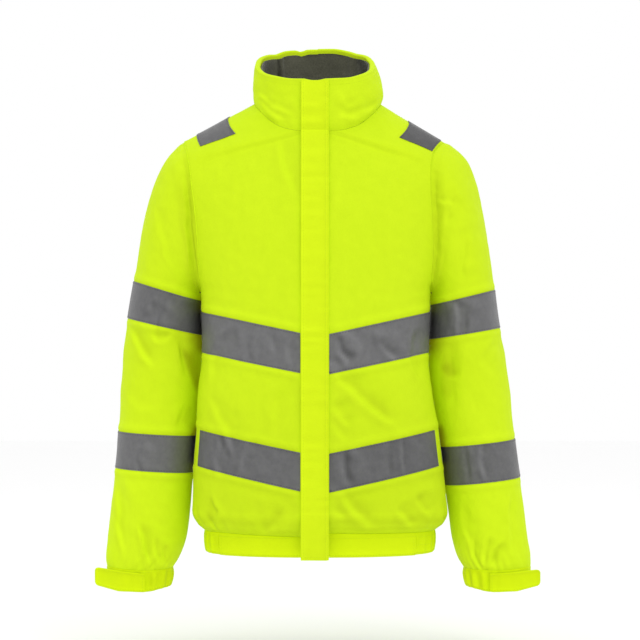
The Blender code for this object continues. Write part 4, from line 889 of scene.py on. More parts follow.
# How far the rows of stitches lie from an edge: at a plain band's sewn end, above the lower
# edge of the plain bands, the elasticated band and the cuffs, and along the tab's edges.
BAND_SEWN_OFFSETS = (0.0020, 0.0062)
PLAIN_BAND_STITCHES = (0.0035, 0.0285)
ELASTIC_STITCHES = (0.0035, 0.0150, 0.0270)
CUFF_STITCHES = (0.0035, 0.0300)
TAB_STITCHES = 0.0030
RIB_COLUMNS = 9           # columns to a rib of the hem band
HEM_RIB_DEPTH = 0.0016
CUFF_RIB_DEPTH = 0.0015
CUFF_COLUMNS = 180
CUFF_BAR_COLUMNS = (45, 47)   # where stitches cross the cuff
TAB_ROWS = 17
TAB_COLUMNS = 46
TAB_CORNER = 0.0055       # how far from its end the tab begins to round
TAB_CORNER_CUT = 0.0045


def band_patch(edge, edge_normals, bottom_z, swell, tuck_in, rib_waves):
    """A band hanging from an edge: rows from its rounded bottom fold up to its seam."""
    flat = level_units(edge_normals)
    top_z = edge[:, 2] - SEAM_GAP
    rows = []
    for height in np.sin(np.linspace(0, math.pi / 2, BAND_ROWS)) ** 1.4:
        below = 1 - height
        bulge = swell * 4 * height * below - tuck_in * below**2
        bulge = bulge + rib_waves * min(1.0, 4 * below) * (0.55 + 0.45 * math.sin(math.pi * height))
        fold = 0.0013 * max(0.0, 1 - height / 0.10) ** 2 + 0.0004 * max(0.0, 1 - below / 0.08) ** 2
        row = edge + flat * (bulge - fold)[:, None]
        row[:, 2] = bottom_z + (top_z - bottom_z) * height
        rows.append(row)
    points = np.stack(rows)
    return points, np.broadcast_to(flat, points.shape)


def uneven_ribs(count, depth, seed):
    """Waves of an elasticated stretch: as many ribs as count, none quite like the next."""
    random = np.random.default_rng(seed)
    phase = np.arange(count * RIB_COLUMNS + 1) * 2 * math.pi / RIB_COLUMNS
    strength = 0.7 + 0.5 * np.interp(phase, np.linspace(0, phase[-1], count),
                                     random.uniform(0, 1, count))
    waves = np.cos(phase + line_noise(phase, 9.0, seed) * 0.9)
    return depth * strength * (0.6 * waves - 0.4 * (1 - np.abs(waves)) ** 2)


def make_hem_bands(torso, material, lining):
    """Two plain front ends and the elasticated stretch round the sides and back."""
    edge, normals = (np.concatenate([
        torso["right", -1][part][0], torso["right", 1][part][0, ::-1],
        torso["left", 1][part][0, 1:], torso["left", -1][part][0, ::-1]]) for part in (0, 1))
    arc = arc_lengths(edge)
    share = arc / arc[-1]
    on_right, on_left = ((edge[:, 1] < 0) & (edge[:, 0] * MIRROR[side] > 0) for side in SIDES)
    right_end = np.interp(BAND_STITCH_X, -edge[on_right, 0], share[on_right])
    left_end = np.interp(-BAND_STITCH_X, -edge[on_left, 0], share[on_left])
    half_gap = SEAM_GAP / 2 / arc[-1]
    pieces = []
    for name, start, end, sewn in (("hem_band_r_shell", 0.0, right_end - half_gap, "last"),
                                   ("hem_band_l_shell", left_end + half_gap, 1.0, "first")):
        points, facing = along_line(edge, normals, np.linspace(start, end, 60), share)
        waves = 0.0006 * soft_noise(points, (0.018, 0.02, 0.02), 21)
        patch = band_patch(points, facing, HEM_BOTTOM_Z, BAND_SWELL, BAND_TUCK, waves)
        pieces.append(cloth_wall(name, [patch], BAND_CLOTH, material, lining))
        sew(patch, "low", *PLAIN_BAND_STITCHES)
        sew(patch, sewn, *BAND_SEWN_OFFSETS)
    waves = uneven_ribs(BAND_RIBS, HEM_RIB_DEPTH, 22)
    places = np.linspace(right_end + half_gap, left_end - half_gap, len(waves))
    points, facing = along_line(edge, normals, places, share)
    patch = band_patch(points, facing, HEM_BOTTOM_Z + ELASTIC_RISE, BAND_SWELL, ELASTIC_TUCK,
                       waves)
    pieces.append(cloth_wall("hem_band_back_shell", [patch], BAND_CLOTH, material, lining))
    sew(patch, "low", *ELASTIC_STITCHES)
    return pieces


def make_cuff(name, sleeve, mirror, material, lining):
    """A cuff below the sleeve, plain on its outer half and ribbed on its inner half."""
    ring, normals = (grid[-1] for grid in sleeve)
    places = np.linspace(0.0, 1.0, CUFF_COLUMNS + 1)[:-1]
    phase = places * CUFF_RIBS * 4 * math.pi
    waves = (CUFF_RIB_DEPTH * fade(np.abs(places - 0.5), 0.245, 0.262)
             * np.cos(phase + line_noise(phase, 7.0, 31)))
    arc = arc_lengths(ring)
    edge, facing = along_line(ring, normals, places, arc / arc[-1])
    inward = -facing[:, 0] * mirror
    tuck_in = CUFF_TUCK_OUTER + (CUFF_TUCK_INNER - CUFF_TUCK_OUTER) * fade(inward, -0.2, 0.6)
    height = CUFF_HEIGHT - CUFF_INNER_CUT * fade(inward, 0.0, 0.9)
    grids = band_patch(edge, facing, edge[:, 2] - height, CUFF_SWELL, tuck_in, waves)
    closed = [np.concatenate([grid, grid[:, :1]], axis=1) for grid in grids]
    piece = cloth_wall(name, [closed], BAND_CLOTH, material, lining)
    sew(closed, "low", *CUFF_STITCHES)
    for column in CUFF_BAR_COLUMNS:
        stitch([grid[1:-1, column] for grid in closed])
    return piece, edge


def make_cuff_tab(name, cuff_edge, mirror, material):
    """The adjuster tab: sewn across the cuff's front, its free end past the outer edge."""
    front = cuff_edge[cuff_edge[:, 1] < cuff_edge[:, 1].mean()] * (mirror, 1, 1)
    front_x, front_y, _ = front[np.argsort(front[:, 0])].T
    xs = np.linspace(TAB_START_X, TAB_END_X, TAB_COLUMNS)
    ys = np.interp(np.minimum(xs, TAB_LEAVE_X), front_x, front_y)
    near = np.searchsorted(xs, TAB_LEAVE_X)
    slope = (ys[near - 1] - ys[near - 4]) / (xs[near - 1] - xs[near - 4])
    ys = ys + np.maximum(xs - TAB_LEAVE_X, 0.0) * slope * TAB_SPRING - LAY_GAP - TAB_STAND_OFF
    ends = [TAB_START_X, TAB_END_X]
    top_z = np.interp(xs, ends, TAB_TOP_Z)
    if mirror < 0:
        top_z = top_z + np.interp(xs, ends, [0.0, TAB_RISE_RIGHT])
    bottom_z = np.interp(xs, [TAB_START_X, TAB_LEAVE_X, TAB_END_X], TAB_BOTTOM_Z)
    in_corner = np.clip((xs - TAB_END_X + TAB_CORNER) / TAB_CORNER, 0, 1)
    rounding = TAB_CORNER_CUT * (1 - np.sqrt(1 - in_corner**2))
    top_z, bottom_z = top_z - rounding, bottom_z + rounding
    levels = (1 - np.cos(np.linspace(0, math.pi, TAB_ROWS))) / 2
    points = np.array([np.stack([mirror * xs, ys, bottom_z + (top_z - bottom_z) * level], axis=1)
                       for level in levels])
    run = np.gradient(points[0], axis=0) * mirror
    normals = np.broadcast_to(level_units(np.stack([run[:, 1], -run[:, 0], run[:, 2]], axis=1)),
                              points.shape)
    to_edge = np.minimum(np.minimum(levels, 1 - levels)[:, None] * 0.030, TAB_END_X - xs)
    relief = (0.0004 * soft_noise(points, (0.014, 0.01, 0.012), 35)
              - 0.0011 * np.clip(1 - to_edge / 0.0016, 0, 1) ** 2)
    patch = (points + normals * (TAB_CLOTH + relief)[..., None], normals)
    piece = cloth_wall(name, [patch], TAB_CLOTH, material)
    for side in ("low", "top", "last", "first"):
        sew(patch, side, TAB_STITCHES)
    return piece


# ------------------------------------------------------------------ collar and flap
COLLAR_ROWS = 27
COLLAR_LUMPS = [(0.0011, (0.026, 0.026, 0.020), 62), (0.0005, (0.011, 0.011, 0.009), 63)]
FRONT_DIP = (-0.004, 0.012, 0.0022)  # of the rim below the flap's top: where, how wide, how deep
ROLL_STEPS = 13
FACING_SHOWS = 0.055      # share of the collar's height left yellow inside, at the back
LINING_START = 0.004      # and what it leaves at the top and bottom all round
FLEECE_LUMPS = [(0.0007, 0.012, 65), (0.0012, 0.030, 66)]
# Folds of the lining at the back: where, how wide, how high.
FLEECE_FOLDS = [(-0.0570, 0.0032, 0.0040), (0.0520, 0.0040, 0.0030)]
FLAP_COLUMNS = 25
FLAP_HANGING_ROWS = 13
FLAP_LUMPS = [(0.0010, (0.060, 0.03, 0.016), 71), (0.0006, (0.035, 0.03, 0.007), 72),
              (0.0010, (0.5, 0.5, 0.060), 73)]
FLAP_ROWS = (0.0022, 0.0056)  # its two rows of stitches lie this far from its sewn edge
FLAP_GAP = 0.0010         # between the flap and what it lies on
FLAP_END_STITCHES = 0.0045    # along its free edge and its lower end
RIM_STITCHES = 0.0060
NECK_SEAM_STITCHES = 0.0030
FLAP_FREE_ROLL = (0.0018, 0.0016)  # how wide and how deep its free edge rolls under
FLAP_SEWN_ROLL = (0.0045, 0.0026)  # and its sewn edge


def collar_surface(loop):
    """Outer surface of the collar: rows from the neck seam up to the rim, and its normals."""
    angle = np.arctan2(loop[:, 0], NECK_CENTRE_Y - loop[:, 1])
    side_reach = np.where(loop[:, 0] < 0, RIM_HALF_WIDTH_RIGHT, RIM_HALF_WIDTH_LEFT)
    across, ahead = rounded(np.sin(angle), RIM_ROUNDNESS), rounded(np.cos(angle), RIM_ROUNDNESS)
    rim_z = (RIM_FRONT_Z + RIM_BACK_Z) / 2 - (RIM_BACK_Z - RIM_FRONT_Z) / 2 * ahead
    rim_z += 0.0012 * line_noise(angle, 0.30, 61)
    rim = np.stack([side_reach * across, NECK_CENTRE_Y - RIM_REACH * ahead, rim_z], axis=1)
    behind = rim[:, 1] > NECK_CENTRE_Y
    for place, width, depth in RIM_DIPS:
        rim[:, 2] -= behind * depth * hump(rim[:, 0] - place, width)
    place, width, depth = FRONT_DIP
    rim[:, 2] -= ~behind * depth * np.exp(-((rim[:, 0] - place) / width) ** 4)
    rim[[0, -1], 0] = loop[[0, -1], 0]
    outward = unit(np.stack([np.sin(angle), -np.cos(angle), angle * 0], axis=1))
    outward[[0, -1]] = (0.0, -1.0, 0.0)
    base = loop + (0.0, 0.0, SEAM_GAP)
    to_left = fade(loop[:, :1], -NECK_BLEND_X, NECK_BLEND_X)
    most = COLLAR_SWELL_RIGHT + (COLLAR_SWELL_LEFT - COLLAR_SWELL_RIGHT) * to_left
    heights = np.linspace(0.0, 1.0, COLLAR_ROWS)[:, None, None]
    swell = most * 4 * heights * (1 - heights) * (1.15 - 0.3 * heights)
    points = base * (1 - heights) + rim * heights + outward * swell
    normals = np.broadcast_to(outward, points.shape)
    relief = crease_relief("collar", points, normals) + lumps(points, COLLAR_LUMPS)
    relief += seam_pucker(points[..., 2] - points[:1, :, 2], arc_lengths(loop), 64, 0.0006)
    relief *= fade(heights[..., 0], 0.0, 0.10)
    relief *= fade(np.abs(points[..., 0] + 0.004), 0.0205, 0.030)
    return points + normals * relief[..., None], normals


def make_collar(torso, yellow, grey):
    """The padded outer collar with its rolled rim, and the grey lining inside it."""
    front_right, back_right = (torso["right", face][0][NECK_ROW:, 0] for face in FACES)
    front_left, back_left = (torso["left", face][0][NECK_ROW:, 0] for face in FACES)
    neckline = np.concatenate([front_right, back_right[-2::-1], back_left[1:],
                               front_left[-2::-1]])
    points, normals = collar_surface(neckline)
    rim, outward = points[-1], normals[-1]
    roll = [rim - outward * COLLAR_CLOTH * (1 - math.cos(turn)) / 2
            + (0.0, 0.0, COLLAR_ROLL * math.sin(turn))
            for turn in np.linspace(0, math.pi, ROLL_STEPS)[1:-1]]
    section = np.concatenate([points, roll, points[::-1] - outward * COLLAR_CLOTH])
    numbers = np.arange(section.shape[0] * section.shape[1]).reshape(section.shape[:2])
    below = np.roll(numbers, -1, axis=0)
    faces = np.stack([below[:, :-1], below[:, 1:], numbers[:, 1:], numbers[:, :-1]], axis=-1)
    faces = [*faces.reshape(-1, 4), numbers[::-1, 0], numbers[:, -1]]
    collar = add_object("collar_shell", section.reshape(-1, 3), faces, yellow)

    skin = points - normals * (COLLAR_CLOTH + LAY_GAP)
    top_share = 1 - LINING_START - FACING_SHOWS * fade(skin[-1, :, 1], -0.02, 0.05)
    places = np.linspace(LINING_START, 1.0, len(skin))[:, None] * top_share * (len(skin) - 1)
    low = np.clip(np.floor(places).astype(int), 0, len(skin) - 2)
    part = (places - low)[..., None]
    columns = np.arange(skin.shape[1])
    skin = skin[low, columns] * (1 - part) + skin[low + 1, columns] * part
    fleece = lumps(skin, FLEECE_LUMPS)
    for place, width, height in FLEECE_FOLDS:
        fleece += height * hump(skin[..., 0] - place, width) * (skin[..., 1] > 0)
    lining = cloth_wall("neck_lining", [(skin - normals * (0.0009 + fleece)[..., None], normals)],
                        LINING_CLOTH, grey)
    sew((points, normals), "top", RIM_STITCHES)
    sew((points, normals), "low", NECK_SEAM_STITCHES)
    return collar, lining, points


def make_flap(torso, collar_points, material):
    """The storm flap: one straight strip from the collar's rim to just below the hem."""
    body = torso["right", -1][0][:, 0]
    line = np.concatenate([body[BLOUSE_ROW:NECK_ROW + 1], collar_points[1:, 0]])
    hanging = np.linspace(0.0, 1.0, FLAP_HANGING_ROWS + 1)[:-1]
    hanging_z = FLAP_BOTTOM_Z * (1 - hanging) + line[0, 2] * hanging
    hanging_y = line[0, 1] + 0.0085 * (1 - hanging) ** 1.5
    zs = np.concatenate([hanging_z, line[:, 2]])
    ys = np.concatenate([hanging_y, line[:, 1]])
    zs[-1] = FLAP_TOP_Z
    across = (1 - np.cos(np.linspace(0, math.pi, FLAP_COLUMNS))) / 2
    xs = FLAP_RIGHT_X + (FLAP_LEFT_X - FLAP_RIGHT_X) * across
    points = np.stack(np.broadcast_arrays(xs, ys[:, None], zs[:, None]), axis=-1)
    run = np.gradient(points, axis=0)
    normals = unit(np.stack([run[..., 0] * 0, -run[..., 2], run[..., 1]], axis=-1))
    from_free, from_sewn = xs - FLAP_RIGHT_X, FLAP_LEFT_X - xs
    relief = lumps(points, FLAP_LUMPS)
    for inside, (width, depth), power in ((from_free, FLAP_FREE_ROLL, 2),
                                          (from_sewn, FLAP_SEWN_ROLL, 1.5)):
        relief -= depth * np.clip(1 - inside / width, 0, 1) ** power
    for row in FLAP_ROWS:
        relief -= 0.0002 * hump(from_sewn - row, 0.0009)
    lift = LAY_GAP + FLAP_CLOTH + FLAP_GAP
    patch = (points + normals * (lift + relief)[..., None], normals)
    flap = cloth_wall("storm_flap_shell", [patch], FLAP_CLOTH, material)
    sew(patch, "last", *FLAP_ROWS)
    sew(patch, "first", FLAP_END_STITCHES)
    sew(patch, "low", FLAP_END_STITCHES)
    return flap


# ------------------------------------------------------------------ finishes
# Painted light: the yellows and their thread give off an even yellow light, in their shade as much as in
# the light, standing in for the dye's fluorescence.
PAINTED_GLOW_COLOR = (1.0, 1.0, 0.0, 1.0)  # colour of that painted light
PAINTED_GLOW = 0.085
MOTTLE_ENDS = (0.30, 0.70)  # of the noise, where a cloth has its dark and its light tone
WEAVE_HEIGHT = 0.0004
GRAIN_HEIGHT = 0.0012
GRAIN_SCALE = 0.22        # of the weave's own scale
CREASE_SHADE_DEEP = 0.0100      # a trough of the table as deep as this has the full painted shade
CREASE_SHADE_SHALLOW = 0.0020   # and one as shallow as this has none
LOW_PAINTED_LIGHT_AND_SHADE = {"front": -0.08, "back": -0.08, "sleeve": 0.045}  # painted shade low on the torso, painted light low on the sleeves
TAPE_PAINTED_LIGHT_AND_SHADE = {"tape_chest_r": 0.12, "tape_chest_l": 0.13, "tape_waist_r": -0.03,
              "tape_waist_l": -0.11, "tape_upper_l": 0.08, "tape_lower_r": 0.10,
              "tape_shoulder_r": -0.08, "tape_shoulder_l": -0.36}  # and painted light and shade on each tape as a whole
CREASE_PASSES = 12
PAINTED_LIGHT_PASSES = 24
CREASE_SHADE_FROM = 0.00024     # depth below the surroundings at which painted shade sets in
CREASE_SHADE_FULL = 0.00160
CREASE_SHADE_SHARE = 0.28
TABLE_CREASE_SHADE_SHARE = 0.9
SEAM_SHADE = 0.26         # how dark the soft shade beside an armhole seam is
SEAM_SHADE_AT = 0.007     # how far from the seam it is darkest
SEAM_SHADE_WIDTH = 0.0125
PAINTED_LIGHT_WAY = (0.55, -0.35, 0.75)  # the way that the painted light comes from
# Painted light and shade: how much a point turned from its surroundings is lightened towards that way and
# darkened away from it, and the most that it may.
CLOTH_PAINTED_LIGHT = (0.55, 0.16)
TAPE_PAINTED_LIGHT = (3.2, 0.45)   # tape gets far more painted light and shade by the way it faces than cloth does


def node(tree, kind, inputs=(), **settings):
    """A shader node with its settings, and its inputs given by name or number."""
    new = tree.nodes.new(kind)
    for name, value in settings.items():
        setattr(new, name, value)
    for name, value in dict(inputs).items():
        if isinstance(value, bpy.types.NodeSocket):
            tree.links.new(value, new.inputs[name])
        else:
            new.inputs[name].default_value = value
    return new


def cloth_finish(name, light, dark, roughness, mottle_scale, weave_scale, weave_depth,
                 grain_depth, sheen=0.0, painted_crease_shade=None, gloss=0.25, painted_glow=0.0):
    """A woven cloth: two mixed tones, a fine weave and a softer grain in its bump.

    Given a shade colour for its creases, the cloth takes painted shade in its folds and painted
    light and shade by the way it faces; it may also give off painted light evenly, shade and all.
    """
    material = bpy.data.materials.new(name)
    material.use_nodes = True
    tree = material.node_tree
    shader = tree.nodes["Principled BSDF"]
    place = node(tree, "ShaderNodeTexCoord").outputs["Object"]
    mottle = node(tree, "ShaderNodeTexNoise", {"Vector": place, "Scale": mottle_scale,
                                               "Detail": 4.0, "Roughness": 0.6})
    tones = node(tree, "ShaderNodeValToRGB", {"Fac": mottle.outputs["Fac"]})
    for end, position, tone_and_painted_light in zip(tones.color_ramp.elements, MOTTLE_ENDS, (dark, light)):
        end.position = position
        end.color = (*tone_and_painted_light, 1.0)
    color = tones.outputs["Color"]
    # Painted shade in folds darkens the colour towards the shade colour, and painted light and shade by
    # the way each point faces scale its brightness.
    if painted_crease_shade is not None:
        crease_and_painted_shade = node(tree, "ShaderNodeAttribute", attribute_name="crease_and_painted_shade")
        shade_painted_color = node(tree, "ShaderNodeMix", data_type="RGBA", blend_type="MIX",
                      inputs={0: crease_and_painted_shade.outputs["Fac"], 6: color, 7: (*painted_crease_shade, 1.0)})
        tone_and_painted_light = node(tree, "ShaderNodeAttribute", attribute_name="tone_and_painted_light")
        toned = node(tree, "ShaderNodeHueSaturation", {"Color": shade_painted_color.outputs[2],
                                                       "Value": tone_and_painted_light.outputs["Fac"]})
        color = toned.outputs["Color"]
    tree.links.new(color, shader.inputs["Base Color"])
    weave = node(tree, "ShaderNodeTexVoronoi", {"Vector": place, "Scale": weave_scale,
                                                "Randomness": 0.35})
    grain = node(tree, "ShaderNodeTexNoise", {"Vector": place, "Scale": weave_scale * GRAIN_SCALE,
                                              "Detail": 5.0, "Roughness": 0.65})
    fine = node(tree, "ShaderNodeBump", {"Height": weave.outputs["Distance"],
                                         "Strength": weave_depth, "Distance": WEAVE_HEIGHT})
    soft = node(tree, "ShaderNodeBump", {"Height": grain.outputs["Fac"],
                                         "Strength": grain_depth, "Distance": GRAIN_HEIGHT,
                                         "Normal": fine.outputs["Normal"]})
    tree.links.new(soft.outputs["Normal"], shader.inputs["Normal"])
    for setting, value in {"Roughness": roughness, "Metallic": 0.0, "Specular IOR Level": gloss,
                           "Sheen Weight": sheen, "Sheen Roughness": 0.5,
                           "Emission Color": PAINTED_GLOW_COLOR, "Emission Strength": painted_glow}.items():
        shader.inputs[setting].default_value = value
    return material


YELLOW_WEAVE = (60.0, 1500.0, 0.25, 0.35)
THREAD_WEAVE = (500.0, 4000.0, 0.2, 0.1)
YELLOW_GLOSS = 0.12
# Painted shade: the colour below, and the last colour of each row after it, is what the cloth darkens
# towards the deeper a point lies in folds.
BAND_PAINTED_SHADE = (0.230, 0.290, 0.0)
yellow, flap_yellow, band_yellow = (
    cloth_finish(name, light, dark, 0.78, *YELLOW_WEAVE, painted_crease_shade=painted_shade, gloss=YELLOW_GLOSS,
                 painted_glow=PAINTED_GLOW)
    for name, light, dark, painted_shade in (
        ("hi_vis_yellow", (0.512, 0.718, 0.009), (0.490, 0.698, 0.008), (0.200, 0.260, 0.0)),
        ("hi_vis_yellow_flap", (0.555, 0.735, 0.007), (0.535, 0.720, 0.006), BAND_PAINTED_SHADE),
        ("hi_vis_yellow_bands", (0.555, 0.735, 0.002), (0.533, 0.716, 0.002), BAND_PAINTED_SHADE)))
# The tape's and the fleece's colours for creases are painted shade too.
silver = cloth_finish("reflective_tape", (0.132, 0.131, 0.134), (0.112, 0.112, 0.115), 0.42,
                      140.0, 1300.0, 0.40, 0.20, painted_crease_shade=(0.045, 0.045, 0.043))
grey = cloth_finish("neck_fleece", (0.108, 0.108, 0.074), (0.080, 0.080, 0.055), 0.92,
                    420.0, 900.0, 0.50, 0.80, sheen=0.25, painted_crease_shade=(0.020, 0.020, 0.013))
inner_grey = cloth_finish("body_lining", (0.110, 0.108, 0.098), (0.095, 0.093, 0.085), 0.85,
                          90.0, 1100.0, 0.30, 0.30)
yellow_thread = cloth_finish("yellow_thread", (0.50, 0.68, 0.009), (0.46, 0.63, 0.008), 0.55,
                             *THREAD_WEAVE, gloss=YELLOW_GLOSS, painted_glow=PAINTED_GLOW)
grey_thread = cloth_finish("grey_thread", (0.075, 0.075, 0.072), (0.055, 0.055, 0.053), 0.55,
                           *THREAD_WEAVE)


def spread_over(values, edges, near, passes):
    """Values at a mesh's vertices, each evened out with its neighbours some times over."""
    for _ in range(passes):
        total = np.stack([np.bincount(edges[:, 0], column[edges[:, 1]], len(values))
                          + np.bincount(edges[:, 1], column[edges[:, 0]], len(values))
                          for column in values.T], axis=1)
        values = 0.5 * values + 0.5 * total / near[:, None]
    return values


def seam_shade(points, normals, seam):
    """The soft shade that lies beside the front of an armhole seam, strongest low down."""
    far = np.min([np.linalg.norm(points - spot, axis=1) for spot in seam], axis=0)
    low = fade(-points[:, 2], 0.06, 0.17)
    return SEAM_SHADE * fade(-normals[:, 1], 0.1, 0.6) * low * hump(far - SEAM_SHADE_AT, SEAM_SHADE_WIDTH)


def mesh_values(items, name, kind, width=1):
    """One property of all of a mesh's vertices or edges as an array."""
    values = np.empty(len(items) * width, dtype=kind)
    items.foreach_get(name, values)
    return values.reshape(-1, width) if width > 1 else values


def paint_crease_shade_and_light(piece, kind, painted_light_range=CLOTH_PAINTED_LIGHT, seam=None):
    """Store painted shade, darker the deeper each point lies in folds or beside a seam, and painted light
    and shade by how far it turns from the light, by its height and by tape.
    """
    mesh = piece.data
    points = mesh_values(mesh.vertices, "co", float, 3)
    normals = mesh_values(mesh.vertices, "normal", float, 3)
    edges = mesh_values(mesh.edges, "vertices", np.int64, 2)
    rim = np.zeros(len(points), dtype=bool)
    rim[edges[mesh_values(mesh.edges, "use_edge_sharp", bool)].ravel()] = True
    borrowed = np.zeros(points.shape)
    for here, there in ((0, 1), (1, 0)):
        lend = ~rim[edges[:, there]]
        np.add.at(borrowed, edges[lend, here], normals[edges[lend, there]])
    known = rim & (np.linalg.norm(borrowed, axis=1) > 1e-9)
    normals[known] = unit(borrowed[known])
    edges = edges[np.sum(normals[edges[:, 0]] * normals[edges[:, 1]], axis=1) > 0.0]
    near = np.bincount(edges.ravel(), minlength=len(points)).clip(1)
    # Painted shade: the deeper a point lies below its smoothed neighbours, in a trough of the table, or
    # beside an armhole seam, the darker its colour.
    depth = np.sum((spread_over(points, edges, near, CREASE_PASSES) - points) * normals, axis=1)
    painted_shade = fade(depth, CREASE_SHADE_FROM, CREASE_SHADE_FULL) * CREASE_SHADE_SHARE
    painted_shade = spread_over(painted_shade[:, None], edges, near, CREASE_PASSES // 2)[:, 0]
    painted_shade = np.maximum(painted_shade, TABLE_CREASE_SHADE_SHARE * fade(-crease_relief(kind, points, normals),
                                                      CREASE_SHADE_SHALLOW, CREASE_SHADE_DEEP))
    if seam is not None:
        painted_shade = np.maximum(painted_shade, seam_shade(points, normals, seam))
    # Painted light and shade: a point turned from its surroundings towards the light's way is lighter,
    # one turned away is darker.
    turned = (unit(spread_over(normals, edges, near, 1))
              - unit(spread_over(normals, edges, near, PAINTED_LIGHT_PASSES))) @ unit(np.array(PAINTED_LIGHT_WAY))
    gain, most = painted_light_range
    tone_and_painted_light = 1 + np.clip(gain * turned, -most, most)
    # Painted shade low down on the torso, painted light low down on the sleeves.
    tone_and_painted_light += LOW_PAINTED_LIGHT_AND_SHADE.get(kind, 0.0) * fade(-points[:, 2], 0.36, 0.58)
    # Painted light and shade on each tape as a whole, by the way it faces.
    tone_and_painted_light += TAPE_PAINTED_LIGHT_AND_SHADE.get(kind, 0.0)
    for name, values in (("crease_and_painted_shade", painted_shade), ("tone_and_painted_light", tone_and_painted_light)):
        mesh.attributes.new(name, "FLOAT", "POINT").data.foreach_set(
            "value", values.astype(np.float32))


# ------------------------------------------------------------------ pieces
WAIST_TAPE_COLUMNS = 67   # the waist tapes stop short of the side seams
TAPE_EDGE = 0.0022        # the tapes' stitching lies this far in from their edges
SIDE_SEAM_STITCH = 0.0030
HEM_SEAM_STITCH = 0.0035
# What each piece was cut from: flat size, and area where the cut isn't a rectangle.
FRONT_CUT = {"flat": (0.235, 0.665), "area": 0.146}
BACK_CUT = {"flat": (0.58, 0.67), "area": 0.325}
SLEEVE_CUT = {"flat": (0.47, 0.64), "area": 0.236}
CUFF_CUT = (0.28, 0.036)
TAB_CUT = (0.082, 0.031)
HEM_BAND_CUTS = {"hem_band_r": (0.16, 0.034), "hem_band_l": (0.16, 0.034),
                 "hem_band_back": (0.70, 0.034)}
LINING_CUT = (0.46, 0.080)
FLAP_CUT = (0.041, 0.74)


def sheet_piece(piece, node_name, flat, held, rests_on=(), area=None, slot="shell_cloth",
                kind=None, seam=None):
    """Hide the part that a cloth piece stands for, and paint its shade in folds and its light and shade.
    """
    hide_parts(node_name)
    paint_crease_shade_and_light(piece, kind or node_name.split("_")[0], seam=seam)


def tape_piece(name, node_name, patches, edges=("low", "top")):
    """One reflective tape laid on its panels, stitched along two of its edges."""
    piece = cloth_wall(name, patches, TAPE_CLOTH, silver, lift=LAY_GAP)
    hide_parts(node_name)
    paint_crease_shade_and_light(piece, node_name, TAPE_PAINTED_LIGHT)
    for patch in patches:
        for edge in edges:
            stitch(inset_line(patch, edge, TAPE_EDGE), "grey_stitching", LAY_GAP + TAPE_CLOTH)


torso = make_torso()
fold_torso(torso)
sleeves = {side[0]: make_sleeve(torso, side) for side in SIDES}
patches = {key: (inset_edges(points), normals) for key, (points, normals) in torso.items()}
for side in SIDES:
    patches[side, 1][0][:NECK_ROW + 1, 0, :2] = torso[side, 1][0][:NECK_ROW + 1, 0, :2]
patches["left", 1][0][:NECK_ROW + 1, 0] = patches["right", 1][0][:NECK_ROW + 1, 0]

for side in SIDES:
    letter = side[0]
    front = cloth_wall(f"front_panel_{letter}", [patches[side, -1]], CLOTH, yellow, inner_grey)
    sheet_piece(front, f"front_{letter}", held="draped", **FRONT_CUT)
    for face in FACES:
        above_underarm = [grid[UNDERARM_ROW:] for grid in patches[side, face]]
        sew(above_underarm, "last", SIDE_SEAM_STITCH)
    sew(patches[side, 1], "top", SIDE_SEAM_STITCH)
    for face in FACES:
        sew(patches[side, face], "low", HEM_SEAM_STITCH)
back_halves = [patches[side, 1] for side in SIDES]
back = cloth_wall("back_panel", back_halves, CLOTH, yellow, inner_grey)
sheet_piece(back, "back", held="draped", **BACK_CUT)

for tape in ("chest", "waist"):
    rows = tape_rows(FRONT_ROWS, tape)
    tape_piece(f"{tape}_tape_rear", f"tape_{tape}_back",
               [tape_patch(half, rows) for half in back_halves])
    for side in SIDES:
        letter = side[0]
        last = WAIST_TAPE_COLUMNS if tape == "waist" else None
        tape_piece(f"{tape}_tape_front_{letter}", f"tape_{tape}_{letter}",
                   [tape_patch(patches[side, -1], rows, slice(1, last))])

for side, mirror in MIRROR.items():
    letter = side[0]
    sleeve = sleeves[letter]
    piece = cloth_wall(f"sleeve_shell_{letter}", [sleeve], CLOTH, yellow, inner_grey)
    sheet_piece(piece, f"sleeve_{letter}", held="draped", seam=sleeve[0][0], **SLEEVE_CUT)
    for tape in ("upper", "lower"):
        tape_piece(f"{tape}_arm_tape_{letter}", f"tape_{tape}_{letter}",
                   [tape_patch(sleeve, tape_rows(SLEEVE_RINGS[side], tape))])
    cuff, cuff_edge = make_cuff(f"cuff_shell_{letter}", sleeve, mirror, band_yellow, inner_grey)
    sheet_piece(cuff, f"cuff_{letter}", CUFF_CUT, "gathered")
    tab = make_cuff_tab(f"cuff_strap_{letter}", cuff_edge, mirror, band_yellow)
    sheet_piece(tab, f"cuff_tab_{letter}", TAB_CUT, "laid", [f"cuff_{letter}"])
    shoulder = [shoulder_patch(patches[side, face], side, face) for face in FACES]
    shoulder[1][0][-1] = shoulder[0][0][-1]
    tape_piece(f"shoulder_tape_{letter}", f"tape_shoulder_{letter}", shoulder,
               ("first", "last"))

for piece, (name, flat) in zip(make_hem_bands(torso, band_yellow, inner_grey),
                               HEM_BAND_CUTS.items()):
    sheet_piece(piece, name, flat, "gathered")

collar, neck_lining, collar_points = make_collar(torso, yellow, grey)
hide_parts("collar")
paint_crease_shade_and_light(collar, "collar")
sheet_piece(neck_lining, "collar_lining", LINING_CUT, "stretched", ["collar"],
            slot="lining_cloth", kind="lining")

flap = make_flap(torso, collar_points, flap_yellow)
sheet_piece(flap, "storm_flap", FLAP_CUT, "laid", ["front_r", "front_l"])

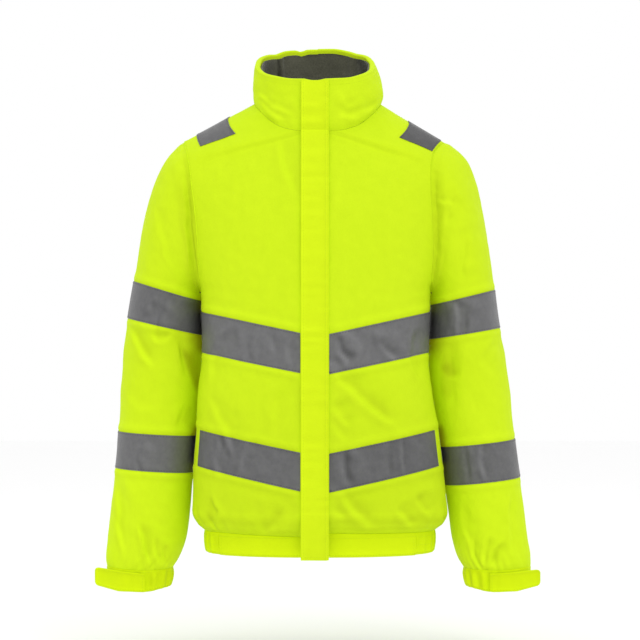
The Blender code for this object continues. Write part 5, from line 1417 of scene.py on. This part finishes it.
for name, finish, slot in (("yellow_stitching", yellow_thread, "shell_cloth"),
                           ("grey_stitching", grey_thread, "reflective_tape")):
    make_stitches(name, finish)

# ------------------------------------------------------------------ floor, light and camera
FLOOR_Z = -0.82
bpy.ops.mesh.primitive_plane_add(size=14.0, location=(0.0, 0.0, FLOOR_Z))
floor = bpy.context.object
floor.name = "floor"
floor_finish = bpy.data.materials.new("floor_white")
floor_finish.use_nodes = True
floor_shader = floor_finish.node_tree.nodes["Principled BSDF"]
floor_shader.inputs["Base Color"].default_value = (0.97, 0.97, 0.97, 1.0)
floor_shader.inputs["Roughness"].default_value = 0.9
floor.data.materials.append(floor_finish)


def area_light(name, place, aim, size, power):
    """A square soft light at place, turned towards aim."""
    data = bpy.data.lights.new(name, "AREA")
    data.size = size
    data.energy = power
    light = bpy.data.objects.new(name, data)
    light.location = place
    turn = (np.array(aim) - np.array(place)).tolist()
    light.rotation_euler = Vector(turn).to_track_quat("-Z", "Y").to_euler()
    bpy.context.scene.collection.objects.link(light)
    return light


MIDDLE = (0.0, 0.0, -0.32)
area_light("key", (1.2, -2.4, 2.0), (0.0, 0.0, -0.10), 1.2, 12.0)
area_light("fill", (-1.8, -2.4, 1.2), (0.0, 0.0, -0.15), 1.4, 6.0)
area_light("overhead", (0.0, 0.6, 2.4), MIDDLE, 2.2, 10.0)

world = bpy.data.worlds.new("white_room")
bpy.context.scene.world = world
world.use_nodes = True
background = world.node_tree.nodes["Background"]
background.inputs["Color"].default_value = (1.0, 1.0, 1.0, 1.0)
background.inputs["Strength"].default_value = 1.0

bpy.context.scene.view_settings.view_transform = "Standard"
bpy.context.scene.view_settings.look = "None"

camera_data = bpy.data.cameras.new("camera")
camera_data.lens = 150.0
camera_data.sensor_width = 36.0
camera_data.clip_end = 60.0
camera = bpy.data.objects.new("camera", camera_data)
camera.location = (0.00375, -4.0, -0.321)
camera.rotation_euler = (math.pi / 2, 0.0, 0.0)
bpy.context.scene.collection.objects.link(camera)
bpy.context.scene.camera = camera
